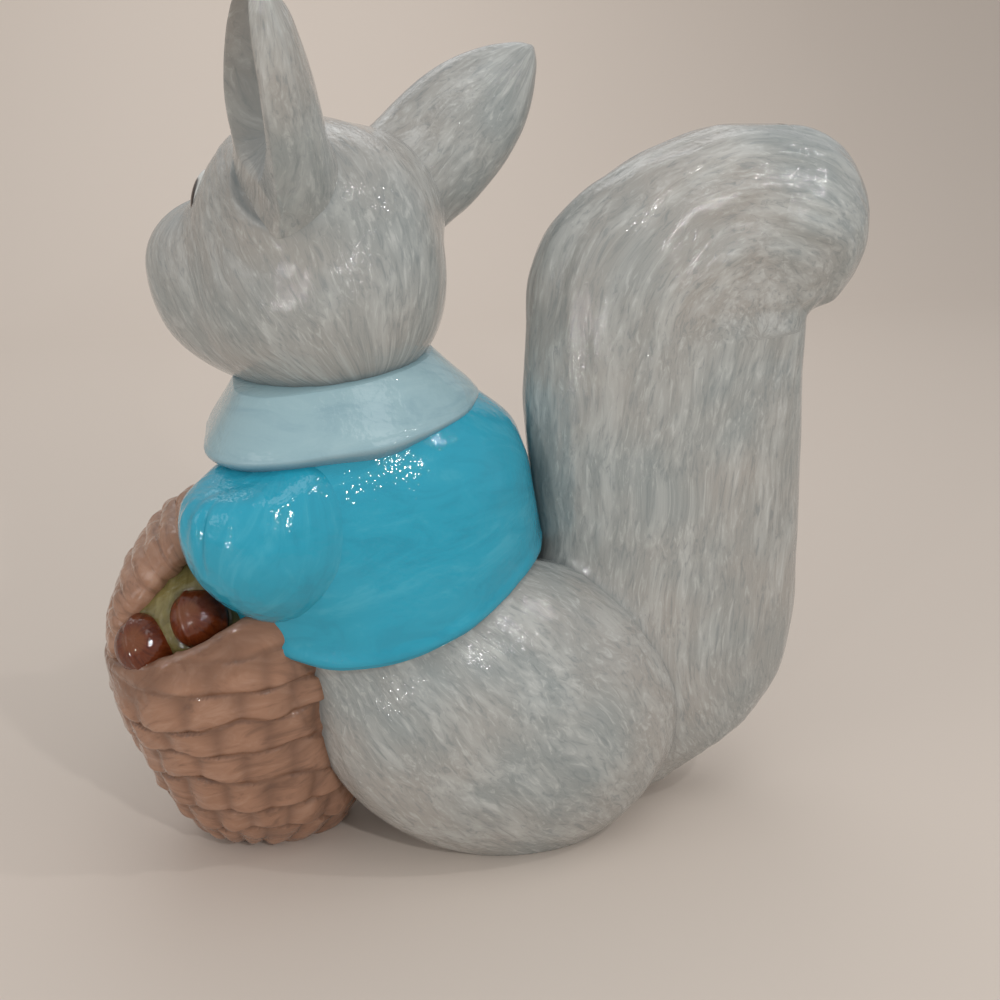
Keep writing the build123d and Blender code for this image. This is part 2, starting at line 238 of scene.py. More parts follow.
@dataclass(frozen=True)
class OvalStack(Form):
    """Ovals one above another in a place. Each row is height, front, back and half width."""

    rows: Points
    inset: float = 0.0
    place: Place = GROUND

    def section(self, height: Points) -> tuple[Points, Points, Points]:
        """The oval at a height, by smooth_read.

        Args:
            height: one or more heights in the stack's place.

        Returns:
            Its middle, half length and half width.
        """
        front, back, half_width = (
            smooth_read(height, self.rows[:, 0], self.rows[:, column]) for column in (1, 2, 3)
        )
        return (front + back) / 2, (back - front) / 2 - self.inset, half_width - self.inset

    def field(self, points: Points) -> Points:
        """The egg's formula in each section, or the height past either end where it is more.

        Args:
            points: where, in millimetres.

        Returns:
            The field at each point.
        """
        across, along, height = np.moveaxis(self.place.local(points), -1, 0)
        middle, half_length, half_width = self.section(height)
        along = along - middle
        k = np.hypot(across / half_width, along / half_length)
        steep = np.hypot(across / half_width**2, along / half_length**2)
        past = np.maximum(height - self.rows[-1, 0], self.rows[0, 0] - height)
        return np.maximum(k * (k - 1) / np.maximum(steep, 1e-6), past)

    def on(self, turn: Points, height: Points) -> Points:
        """Points of the surface: x = w cos t, y = middle + l sin t, z = height.

        Args:
            turn: the turn t round the stack's axis.
            height: the height in its place.

        Returns:
            The points, in the figurine's frame.
        """
        middle, half_length, half_width = self.section(height)
        places = (half_width * np.cos(turn), middle + half_length * np.sin(turn), height)
        return self.place.world(np.stack(np.broadcast_arrays(*places), -1))


@dataclass(frozen=True)
class Tucked(Form):
    """A form that gives way softly to another laid over it."""

    form: Form
    over: Form
    width: float

    def field(self, points: Points) -> Points:
        """The higher of the form's field and the other's turned about, rounded by soft_union."""
        return -soft_union(-self.form.field(points), self.over.field(points), self.width)


@dataclass(frozen=True)
class FlatFooted(Form):
    """A form cut flat at the ground."""

    form: Form

    def field(self, points: Points) -> Points:
        """The form's field, or the depth under the ground where that is more."""
        return np.maximum(self.form.field(points), -points[..., 2])


@dataclass(frozen=True)
class Luted(Form):
    """Several forms joined with soft fillets."""

    forms: tuple[Form, ...]
    width: float

    def field(self, points: Points) -> Points:
        """Each form's field in turn, joined to the rest by soft_union.

        Args:
            points: where, in millimetres.

        Returns:
            The field at each point.
        """
        total = self.forms[0].field(points)
        for form in self.forms[1:]:
            total = soft_union(total, form.field(points), self.width)
        return total


# ---------------------------------------------------------------- grids of rings

POLE_GAP = 0.02  # radians from each pole to the first ring
HALVINGS = 22  # 160 mm halved so often is far under a thousandth of a millimetre
REPEATS = 12  # enough for an edge's height to settle


def turns(columns: int) -> Points:
    """Even turns round a ring, anticlockwise seen from its high pole."""
    return np.linspace(0, 2 * np.pi, columns, endpoint=False)


def normals(rings: Points) -> Points:
    """Outward unit normals: the step round each ring crossed with the step to the next ring."""
    around = np.roll(rings, -1, axis=1) - np.roll(rings, 1, axis=1)
    return unit(np.cross(around, np.gradient(rings, axis=0)))


def ray_rings(form: Form, place: Place, rows: int, columns: int, reach: float = 120.0) -> Points:
    """Rings where rays from a place's origin leave a form, found by halving.

    Args:
        form: the form, which the origin lies inside.
        place: its origin and the Z that the rings stand round.
        rows: rings from the low pole to the high one.
        columns: points in each ring.
        reach: a distance outside the form on every ray.

    Returns:
        The rings, in millimetres.
    """
    rises = np.linspace(POLE_GAP, np.pi - POLE_GAP, rows)
    rise, turn = np.meshgrid(rises, turns(columns), indexing="ij")
    local = (np.sin(rise) * np.cos(turn), np.sin(rise) * np.sin(turn), -np.cos(rise))
    rays = np.stack(local, -1) @ place.axes
    low, high = np.zeros(rays.shape[:2]), np.full(rays.shape[:2], reach)
    for _ in range(HALVINGS):
        half = (low + high) / 2
        inside = form.field(place.origin + rays * half[..., None]) < 0
        low, high = np.where(inside, half, low), np.where(inside, high, half)
    return place.origin + rays * low[..., None]


def raise_by(rings: Points, height: Points) -> Points:
    """Move rings out along their normals by a height in millimetres."""
    return rings + normals(rings) * height[..., None]


def meet(rings: Points, neighbours: tuple[Form, ...], width: float) -> Points:
    """Raise rings into a fillet at each neighbour in turn, by width/4 (1 - gap/width)^2.

    Args:
        rings: the rings.
        neighbours: the forms that they come near.
        width: the gap at which the fillet begins, in millimetres.

    Returns:
        The rings with their fillets.
    """
    for neighbour in neighbours:
        gap = ramp(np.abs(neighbour.field(rings)), 0, width)
        rings = raise_by(rings, width / 4 * (1 - gap) ** 2)
    return rings


def rolled(edge: Points, inward: Points, radius: float, roll: Points, foot: float) -> Points:
    """A rolled lip: edge + radius (1 - cos roll) inward + radius (sin roll - foot) up.

    Args:
        edge: the ring that the lip starts from.
        inward: each point's level direction inward.
        radius: the roll's radius in millimetres.
        roll: the angle of each ring of the lip.
        foot: sine of the angle at the edge.

    Returns:
        The lip's rings.
    """
    roll = roll[:, None]
    lip = edge + inward * (radius * (1 - np.cos(roll)))[..., None]
    return lip + UP * (radius * (np.sin(roll) - foot))[..., None]


def crease_shade(points: Points, neighbours: tuple[Form, ...], reach: float) -> Points:
    """How much painted shade lies in the creases: falls off by exp(-gap / reach) from a neighbour.

    Args:
        points: where.
        neighbours: the forms that make the creases.
        reach: how far the painted shade reaches from a crease, in millimetres.

    Returns:
        A share from 0 to 1 for each point.
    """
    pool = np.zeros(points.shape[:-1])
    for neighbour in neighbours:
        # painted shade, darkest where a neighbouring form comes close
        pool = np.maximum(pool, np.exp(-np.abs(neighbour.field(points)) / reach))
    return pool


def fur_relief(flow: Points, height: float) -> Points:
    """Height of modelled fur: ridges 7 mm and 3.5 mm wide, drawn out along the strokes."""
    return height * uneven(flow, (1.0, 7.0, 5), (0.5, 3.5, 6))


def wander(points: Points) -> Points:
    """How far a hand strays from a stroke's line: up to 1.7 mm each way, over some 17 mm."""
    strays = [lattice_noise(points / 17 + 7.3 * seed, seed) for seed in (81, 82, 83)]
    return 1.7 * np.stack(strays, -1)


@dataclass(frozen=True)
class Strokes:
    """Brush strokes that run from one pole to the other over a rounded form."""

    origin: Triple
    axis: Triple
    radius: float = 40.0
    drawn_out: float = 0.3

    def flow(self, points: Points) -> Points:
        """radius times the direction away from the axis, plus 0.3 of the way along the axis.

        It stays nearly level along a stroke, so a pattern on it is drawn out into strokes.

        Args:
            points: where, in millimetres.

        Returns:
            The pattern's coordinates at each point, in millimetres.
        """
        axis = unit(np.asarray(self.axis, float))
        local = points - self.origin
        along = local @ axis
        away = unit(local - along[..., None] * axis)
        drawn = axis * (along * self.drawn_out)[..., None]
        return self.radius * away + drawn + wander(points)


@dataclass(frozen=True)
class Curl:
    """Brush strokes that run up the tail, fan in to its crook and go round it."""

    crook: Pair = (100.0, 184.0)
    fan: float = 10.0
    fan_depth: float = 45.0
    fan_reach: float = 55.0
    foot: float = 75.0
    sweep: float = 34.0
    bend: float = 60.0
    drawn_out: float = 0.2

    def flow(self, points: Points) -> Points:
        """X, the distance from the crook or from the line under it, and a part of the way round.

        Under the crook the strokes near it fan out by fan (1 - exp(-depth / fan depth)), and those
        near the ground sweep back by the square of the share of the foot's height that is left.

        Args:
            points: where, in millimetres.

        Returns:
            The pattern's coordinates at each point, in millimetres.
        """
        x, back, rise = (points[..., axis] for axis in range(3))
        ahead = self.crook[0] - back
        over = np.maximum(rise - self.crook[1], 0)
        under = np.maximum(self.crook[1] - rise, 0)
        spread = self.fan * (1 - np.exp(-under / self.fan_depth))
        ahead = ahead - spread * bell(ahead, 0, self.fan_reach)
        ahead = ahead + self.sweep * np.clip(1 - rise / self.foot, 0, 1) ** 2
        across = np.where(over > 0, np.hypot(ahead, over), ahead)
        along = np.where(over > 0, self.bend * np.arctan2(over, ahead), rise - self.crook[1])
        return np.stack((x, across, along * self.drawn_out), -1) + wander(points)


# ---------------------------------------------------------------- finishes


def linear(colour: str) -> Colour:
    """Linear RGBA of an sRGB hex colour: c / 12.92, or ((c + 0.055) / 1.055)^2.4 above 0.04045.

    Args:
        colour: the colour, as #rrggbb.

    Returns:
        Red, green and blue from 0 to 1, and an alpha of 1.
    """
    parts = np.array([int(colour[at : at + 2], 16) for at in (1, 3, 5)]) / 255
    made = np.where(parts <= 0.04045, parts / 12.92, ((parts + 0.055) / 1.055) ** 2.4)
    return (*made.tolist(), 1.0)


def add_node(
    tree: Tree, kind: str, inputs: dict | None = None, **settings: object
) -> bpy.types.Node:
    """Add a node with its settings and links.

    Args:
        tree: the node tree.
        kind: the node's type.
        inputs: for an input's name or place, its value or the output socket that feeds it.
        **settings: the node's own properties.

    Returns:
        The node.
    """
    node = tree.nodes.new(kind)
    for key, value in settings.items():
        setattr(node, key, value)
    for key, value in (inputs or {}).items():
        if isinstance(value, Socket):
            tree.links.new(value, node.inputs[key])
        else:
            node.inputs[key].default_value = value
    return node


@dataclass(frozen=True)
class Coat:
    """A coat of paint whose share changes while a pattern's value goes from one to another."""

    tint: str
    pattern: Socket
    between: Pair
    share: Pair
    curve: str = "SMOOTHSTEP"

    def over(self, tree: Tree, under: Colour | Socket) -> Socket:
        """Lay the coat over what is under it.

        Args:
            tree: the node tree.
            under: the colour, or the socket of the coats under it.

        Returns:
            The socket of all the coats together.
        """
        (first, last), (low, high) = self.between, self.share
        share = add_node(
            tree, "ShaderNodeMapRange",
            {"Value": self.pattern, "From Min": first, "From Max": last, "To Min": low,
             "To Max": high}, interpolation_type=self.curve,
        ).outputs[0]
        colours = {0: share, 6: under, 7: linear(self.tint)}
        return add_node(tree, "ShaderNodeMix", colours, data_type="RGBA").outputs[2]


@dataclass(frozen=True)
class Glaze:
    """Underglaze paint on cast earthenware under a clear brushed-on glaze.

    The body is dull paint, which has no sheen of its own under the glaze, and the coat is the clear
    glaze: glassy, but brushed, so that it lies in ripples that break each highlight into glitter.
    Widths and heights are in millimetres.
    """

    name: str
    paint: str
    dark: str
    light: str
    stroke: float = 1.7
    strength: float = 0.55
    paint_roughness: float = 0.55
    coat_roughness: float = 0.05
    ripple: float = 2.1
    ripple_height: float = 0.34
    brush_depth: float = 0.12
    shadow: Pair = (0.30, 0.52)
    shine: Pair = (0.50, 0.72)

    def stroked(self, tree: Tree, under: Colour | Socket, strokes: Socket) -> Socket:
        """Lay dark strokes and then light ones over a colour.

        Args:
            tree: the node tree.
            under: the colour or socket under them.
            strokes: the pattern that they follow.

        Returns:
            The colour's socket.
        """
        for coat in (
            Coat(self.dark, strokes, self.shadow, (self.strength, 0.0)),
            Coat(self.light, strokes, self.shine, (0.0, self.strength)),
        ):
            under = coat.over(tree, under)
        return under

    def coloured(self, tree: Tree, strokes: Socket) -> Socket:
        """Plain paint under the dark and light strokes."""
        return self.stroked(tree, linear(self.paint), strokes)

    def material(self) -> bpy.types.Material:
        """Make the material: strokes in colour and bump, painted shade in creases and darker bands,
        clear coat.

        Returns:
            The material.
        """
        made = bpy.data.materials.new(self.name)
        made.use_nodes = True
        tree = made.node_tree
        tree.nodes.clear()
        flow = add_node(tree, "ShaderNodeAttribute", attribute_name="flow").outputs["Vector"]
        strokes = add_node(
            tree, "ShaderNodeTexNoise",
            {"Vector": flow, "Scale": 1 / self.stroke, "Detail": 4.0, "Roughness": 0.65,
             "Distortion": 0.8},
        ).outputs[0]
        pool = add_node(tree, "ShaderNodeAttribute", attribute_name="pool").outputs["Fac"]
        # painted shade in creases, and darker bands on some pieces: the dark paint mixed in by that
        # share
        shaded_and_banded = {0: pool, 6: self.coloured(tree, strokes), 7: linear(self.dark)}
        colour = add_node(tree, "ShaderNodeMix", shaded_and_banded, data_type="RGBA").outputs[2]
        brushed = add_node(
            tree, "ShaderNodeBump",
            {"Height": strokes, "Strength": 0.7, "Distance": self.brush_depth * MM},
        ).outputs[0]
        place = add_node(tree, "ShaderNodeTexCoord").outputs["Object"]
        ripples = add_node(
            tree, "ShaderNodeTexNoise",
            {"Vector": place, "Scale": 1000 / self.ripple, "Detail": 2.0, "Roughness": 0.5},
        ).outputs[0]
        rippled = add_node(
            tree, "ShaderNodeBump",
            {"Height": ripples, "Normal": brushed, "Strength": 1.0,
             "Distance": self.ripple_height * MM},
        ).outputs[0]
        shader = add_node(
            tree, "ShaderNodeBsdfPrincipled",
            {"Base Color": colour, "Roughness": self.paint_roughness, "Specular IOR Level": 0.0,
             "Normal": brushed, "Coat Weight": 1.0, "Coat Roughness": self.coat_roughness,
             "Coat IOR": 1.5, "Coat Normal": rippled},
        )
        add_node(tree, "ShaderNodeOutputMaterial", {"Surface": shader.outputs[0]})
        return made


@dataclass(frozen=True)
class FurGlaze(Glaze):
    """Grey fur in dry-brushed strokes over a mottled wash, warmer and bluer in patches."""

    warm: str = "#a69d92"
    cool: str = "#84908f"
    patch: float = 26.0
    veil: float = 0.6
    shadow: Pair = (0.30, 0.50)
    shine: Pair = (0.52, 0.72)

    def coloured(self, tree: Tree, strokes: Socket) -> Socket:
        """A wash of warm and cool patches, a veil of paint, broad streaks and then the strokes.

        Args:
            tree: the node tree.
            strokes: the pattern that the strokes follow.

        Returns:
            The colour's socket.
        """
        place = add_node(tree, "ShaderNodeTexCoord").outputs["Object"]
        flow = add_node(tree, "ShaderNodeAttribute", attribute_name="flow").outputs["Vector"]
        patches, broad = (
            add_node(
                tree, "ShaderNodeTexNoise",
                {"Vector": where, "Scale": scale, "Detail": detail, "Roughness": roughness},
            ).outputs[0]
            for where, scale, detail, roughness in (
                (place, 1000 / self.patch / 2, 2.0, 0.5), (flow, 1 / self.stroke / 4, 3.0, 0.6),
            )
        )
        wash = Coat(self.warm, patches, (0.38, 0.62), (0.0, 1.0), "LINEAR")
        veiled = {0: self.veil, 6: wash.over(tree, linear(self.cool)), 7: linear(self.paint)}
        colour = add_node(tree, "ShaderNodeMix", veiled, data_type="RGBA").outputs[2]
        streaks = Coat(self.light, broad, (0.46, 0.70), (0.0, 0.45), "LINEAR")
        return self.stroked(tree, streaks.over(tree, colour), strokes)


@dataclass(frozen=True)
class MarkedGlaze(Glaze):
    """A glaze with one painted mark, whose place is the piece's own "mark" attribute."""

    mark: str = "#2a1c16"

    def coloured(self, tree: Tree, strokes: Socket) -> Socket:
        """The brushed paint with the mark's colour laid over it.

        Args:
            tree: the node tree.
            strokes: the pattern that the strokes follow.

        Returns:
            The colour's socket.
        """
        mark = add_node(tree, "ShaderNodeAttribute", attribute_name="mark").outputs["Fac"]
        marked = {0: mark, 6: super().coloured(tree, strokes), 7: linear(self.mark)}
        return add_node(tree, "ShaderNodeMix", marked, data_type="RGBA").outputs[2]


# Fur paint: a grey wash dry-brushed in dark and light strokes 1.7 mm wide, soft combed fur
FUR = FurGlaze(
    "fur_underglaze_paint", "#9c9c99", "#777e7f", "#c3c4c0", strength=0.5, brush_depth=0.22
)
# Turquoise paint: two thin brushed coats, a little lighter where the brush lifted
JACKET_BLUE = Glaze(
    "turquoise_underglaze_paint", "#2699b3", "#1b7f98", "#55afc3",
    stroke=7.5, strength=0.32, ripple=2.1, ripple_height=0.34, brush_depth=0.05,
)
# Pale blue paint: one thin coat over white slip, milky, a little bluer and darker along the rolled
# hem, with painted shade at the neck
COLLAR_BLUE = Glaze(
    "pale_blue_underglaze_paint", "#94b1b8", "#6b8c9b", "#a6c0c5",
    stroke=7.5, strength=0.3, ripple=2.1, ripple_height=0.34, brush_depth=0.05,
)
# Basket paint: pinkish brown over white clay, with painted shade dark between the strands of the
# weave
BASKET_BROWN = Glaze(
    "basket_underglaze_paint", "#9a735c", "#5c4134", "#b18d77",
    stroke=4.0, strength=0.45, ripple=2.6, ripple_height=0.5, brush_depth=0.05,
)
# Lining paint: translucent olive wash, with painted shade in the creases round the nuts
LINING_OLIVE = Glaze(
    "olive_underglaze_wash", "#7d7143", "#4f4628", "#9a9062",
    stroke=3.0, strength=0.5, ripple=1.8, ripple_height=0.5,
)
# Chestnut paint: deep red-brown under thick glaze, with a tan patch where the husk sat
CHESTNUT_BROWN = MarkedGlaze(
    "chestnut_underglaze_paint", "#602a12", "#36120a", "#733a20",
    stroke=2.5, strength=0.5, coat_roughness=0.04, ripple=2.6, ripple_height=0.35, mark="#80502f",
)
# Eye paint: white slip and a dark brown pupil under thick glaze, which looks wet
EYE_WHITE = MarkedGlaze(
    "eye_underglaze_paint", "#d9d9d4", "#8f9290", "#e6e6e2",
    strength=0.15, coat_roughness=0.04, ripple=3.0, ripple_height=0.15, mark="#2a1c16",
)
# Nose paint: brown-black under a smooth glaze, a damp dark nose
NOSE_BLACK = Glaze("nose_underglaze_paint", "#3a2b27", "#1d1412", "#55433d", coat_roughness=0.06)


# ---------------------------------------------------------------- castings


@dataclass
class Casting:
    """One cast piece: its name, the CAD nodes that it stands for, its finish and its paint slot."""

    name: str
    nodes: tuple[str, ...]
    slot: str
    finish: Glaze

    def form(self) -> Form:
        """The piece's plain form, where others come against it."""
        raise NotImplementedError

    def strokes(self) -> Strokes | Curl:
        """Which way the brush went over the piece."""
        return Strokes((0.0, 0.0, 0.0), (0.0, 0.0, 1.0))

    def shells(self) -> list[Points]:
        """The closed surfaces of the piece, as grids of rings."""
        raise NotImplementedError

    def neighbours(self) -> tuple[Form, ...]:
        """The forms against which shade is painted in the creases."""
        return ()

    def pool(self, points: Points) -> Points:
        """Share of painted shade at each point, in the creases against the neighbours."""
        return 0.75 * crease_shade(points, self.neighbours(), 1.6)

    def mark(self, points: Points) -> Points:
        """Share of the painted mark at each point."""
        return np.zeros(len(points))

    def build(self) -> bpy.types.Object:
        """Make the piece's mesh, finish it and set it in the frame.

        Returns:
            The piece's object.
        """
        points, corners, starts = close_shells(self.shells())
        mesh = bpy.data.meshes.new(self.name)
        mesh.vertices.add(len(points))
        mesh.vertices.foreach_set("co", (points * MM).ravel())
        mesh.loops.add(len(corners))
        mesh.loops.foreach_set("vertex_index", corners)
        mesh.polygons.add(len(starts))
        mesh.polygons.foreach_set("loop_start", starts)
        mesh.polygons.foreach_set("use_smooth", np.ones(len(starts), bool))
        mesh.update(calc_edges=True)
        flow = mesh.attributes.new("flow", "FLOAT_VECTOR", "POINT")
        flow.data.foreach_set("vector", self.strokes().flow(points).ravel())
        # painted shade and darker bands, and the painted mark, kept as shares on the points
        for word, values in (("pool", self.pool(points)), ("mark", self.mark(points))):
            share = mesh.attributes.new(word, "FLOAT", "POINT")
            share.data.foreach_set("value", np.clip(values, 0, 1))
        mesh.materials.append(painted(self.finish))
        piece = bpy.data.objects.new(self.name, mesh)
        bpy.context.scene.collection.objects.link(piece)
        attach(piece, "root")
        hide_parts(*self.nodes)
        log.info("%s: %d points, stands for %s", self.name, len(points), ", ".join(self.nodes))
        return piece


def painted(finish: Glaze) -> bpy.types.Material:
    """The finish's material, made once and shared."""
    return bpy.data.materials.get(finish.name) or finish.material()


def forms(pieces: tuple[Casting, ...]) -> tuple[Form, ...]:
    """The plain form of each piece."""
    return tuple(piece.form() for piece in pieces)


def close_shells(shells: list[Points]) -> tuple[Points, Points, Points]:
    """Close each grid of rings with a pole at either end, and join them as one mesh.

    Args:
        shells: grids of rings, each from its low pole to its high one.

    Returns:
        Points, corner indices and the first corner of each face.
    """
    points, corners, starts = [], [], []
    base = first = 0
    for rings in shells:
        rows, columns = rings.shape[:2]
        ends = np.stack((rings[0].mean(0), rings[-1].mean(0)))
        points += [rings.reshape(-1, 3), ends]
        row, column = np.meshgrid(np.arange(rows - 1), np.arange(columns), indexing="ij")
        following = (column + 1) % columns
        quads = np.stack(
            (row * columns + column, row * columns + following,
             (row + 1) * columns + following, (row + 1) * columns + column), -1,
        ).reshape(-1)
        around = np.arange(columns)
        after = (around + 1) % columns
        top = (rows - 1) * columns
        low = np.stack((np.full(columns, rows * columns), after, around), -1).reshape(-1)
        high = np.stack((np.full(columns, rows * columns + 1), top + around, top + after), -1)
        corners += [quads + base, low + base, high.reshape(-1) + base]
        starts += [first + np.arange(0, len(quads), 4)]
        first += len(quads)
        starts += [first + np.arange(0, 6 * columns, 3)]
        first += 6 * columns
        base += rows * columns + 2
    return np.concatenate(points), np.concatenate(corners), np.concatenate(starts)


@dataclass
class Haunches(Casting):
    """Two haunches, the flat foot between them and the chest that rises inside the jacket."""

    half: Triple = (38.0, 69.0, 57.0)
    spread: float = 20.0
    back: float = 9.5
    middle_height: float = 51.0
    lean: float = 27.0
    foot_half: tuple[float, float] = (37.0, 43.0)
    foot_back: float = 22.0
    seam: float = 9.0
    foot_flares: Rows = ((-3.0, -3.0), (0.0, -3.0), (30.0, 4.0))
    join: float = 10.0
    chest_inset: float = 9.0
    chest_join: float = 6.0
    core: Triple = (0.0, -2.0, 62.0)
    relief: float = 0.45
    foot_fade: float = 8.0

    def place(self, side: Side) -> Place:
        """The leaning place of one haunch."""
        origin = (side.value * self.spread, self.back, self.middle_height)
        return Place.standing(origin, self.lean)

    def form(self) -> Form:
        """Both haunches and the foot, softly joined.

        Returns:
            The form.
        """
        eggs = tuple(Egg((0.0, 0.0, 0.0), self.half, self.place(side)) for side in Side)
        width, length = self.foot_half
        rows = [
            (level, self.foot_back - length - flare, self.foot_back + length + flare, width + flare)
            for level, flare in self.foot_flares
        ]
        return Luted((*eggs, OvalStack(np.array(rows))), self.join)

    def strokes(self) -> Strokes:
        """From under the jacket's front, over the haunch and down to the tail's foot."""
        return Strokes((0.0, 8.0, 52.0), (0.0, 0.66, -0.75), 48.0)

    def neighbours(self) -> tuple[Form, ...]:
        """The tail and the basket."""
        return forms((TAIL, BASKET))

    def shells(self) -> list[Points]:
        """Rays from between the haunches, flat on the ground, with brushed relief.

        Returns:
            One grid of rings.
        """
        chest = OvalStack(TORSO.form().rows, inset=self.chest_inset)
        whole = FlatFooted(Luted((self.form(), chest), self.chest_join))
        rings = ray_rings(whole, Place.standing(self.core), rows=260, columns=320, reach=160.0)
        rings = meet(rings, forms((TAIL,)), self.seam)
        fur = fur_relief(self.strokes().flow(rings), self.relief)
        rings = raise_by(rings, fur * ramp(rings[..., 2], 0, self.foot_fade))
        rings[..., 2] = np.maximum(rings[..., 2], 0)
        return [rings]


@dataclass
class Tail(Casting):
    """The tail: a broad column of level ovals up to its crest, and the rolled tip behind it."""

    height: float = 252.0
    depth: float = 105.0
    half_thickness: float = 28.0
    front: float = 23.0
    shares: Rows = (
        (0.000, 0.190, 0.400, 0.45), (0.022, 0.120, 0.555, 0.66), (0.059, 0.080, 0.700, 0.80),
        (0.099, 0.060, 0.850, 0.90), (0.172, 0.050, 0.985, 0.97), (0.263, 0.050, 1.030, 1.00),
        (0.380, 0.070, 1.030, 1.00), (0.497, 0.045, 1.015, 1.00), (0.621, 0.010, 1.000, 1.00),
        (0.731, 0.025, 0.990, 1.00), (0.815, 0.040, 0.985, 0.98), (0.884, 0.124, 0.995, 0.93),
        (0.936, 0.272, 0.995, 0.82), (0.972, 0.445, 0.960, 0.64), (0.992, 0.590, 0.890, 0.42),
        (1.000, 0.680, 0.810, 0.22),
    )
    tip_half: Triple = (24.0, 29.8, 33.0)
    tip_middle: Triple = (0.0, 117.0, 218.0)
    relief: float = 0.7
    band: Wave = (1.9, 10.0, 8)
    crest: Pair = (130.0, 80.0)
    seam: float = 9.0
    tip_seam: float = 4.0
    fade: float = 12.0

    def form(self) -> OvalStack:
        """The tail without its tip.

        Returns:
            Its ovals, in millimetres.
        """
        scale = (self.height, self.depth, self.depth, self.half_thickness)
        return OvalStack(np.array(self.shares) * scale + (0, self.front, self.front, 0))

    def tip(self) -> Egg:
        """The rolled tip."""
        return Egg(self.tip_middle, self.tip_half)

    def strokes(self) -> Curl:
        """Up the column and round the crook."""
        return Curl()

    def neighbours(self) -> tuple[Form, ...]:
        """The haunches and the jacket."""
        return forms((HAUNCHES, TORSO))

    def shells(self) -> list[Points]:
        """Ovals spaced evenly up the front edge, and the tip's own egg, both with deep strokes.

        Returns:
            Two grids of rings.
        """
        stack = self.form()
        fine = np.linspace(0, self.height, 1500)
        middle, half_length, half_width = stack.section(fine)
        steps = np.hypot(np.gradient(fine), np.gradient(middle - half_length))
        path = np.cumsum(np.hypot(steps, np.gradient(half_width)))
        levels = np.interp(np.linspace(path[0], path[-1], 288), path, fine)
        column = meet(stack.on(turns(280), levels[:, None]), forms((HAUNCHES,)), self.seam)
        tip = ray_rings(self.tip(), Place.standing(self.tip_middle), rows=110, columns=140)
        pairs = ((column, self.tip()), (tip, stack))
        return [self.brushed(meet(rings, (other,), self.tip_seam)) for rings, other in pairs]

    def brushed(self, rings: Points) -> Points:
        """Modelled fur, and bands 10 mm wide that deepen towards the crest.

        Both fade out at the ground, behind the crook, where the strokes part, and at the very back.

        Args:
            rings: the plain rings.

        Returns:
            The rings with their relief.
        """
        flow, crook = self.strokes().flow(rings), self.strokes().crook
        deepen = ramp(rings[..., 2], *self.crest)
        bands = uneven(flow * (0.4, 1, 0.8), self.band)
        height = fur_relief(flow, self.relief) * (0.6 + 0.9 * deepen) + bands * (0.2 + deepen)
        grounded = ramp(rings[..., 2], 0, self.fade)
        parting = np.hypot(np.minimum(rings[..., 1] - crook[0], 0), rings[..., 2] - crook[1])
        to_back = self.tip_middle[1] + self.tip_half[1] - rings[..., 1]
        tame = np.clip(to_back / self.fade, 0.15, 1)
        rings = raise_by(rings, height * grounded * ramp(parting, 0, self.seam) * tame)
        rings[..., 2] = np.clip(rings[..., 2], 0, self.height)
        return rings


@dataclass
class EdgedCasting(Casting):
    """A casting of level ovals whose edge rises and falls from front to back.

    A row of shares is height, front, back and half width, as parts of the piece's own. A row of
    the edge is a place behind the middle, as a part of the reach, and a part of the height.
    """

    seat: float
    height: float
    reach: float
    half_width: float
    middle: float
    shares: Rows
    edge: Rows
    edge_guess: float

    def form(self) -> OvalStack:
        """The plain ovals.

        Returns:
            The ovals, in millimetres.
        """
        level, front, back, width = np.array(self.shares).T
        rows = (
            self.seat + level * self.height, self.middle - front * self.reach,
            self.middle + back * self.reach, width * self.half_width,
        )
        return OvalStack(np.stack(rows, -1))

    def edge_height(self, back: Points) -> Points:
        """Height of the edge at a distance back, read from its curve."""
        places, rise = np.array(self.edge).T
        return smooth_read(back, self.middle + places * self.reach, self.seat + rise * self.height)

    def edge_round(self, turn: Points) -> Points:
        """Height h of the edge at each turn, which solves h = edge(y(h)), found by repeating it.

        Args:
            turn: the turns round the ovals.

        Returns:
            One height for each turn.
        """
        stack = self.form()
        level = np.full(len(turn), self.seat + self.edge_guess * self.height)
        for _ in range(REPEATS):
            level = self.edge_height(stack.on(turn, level)[:, 1])
        return level


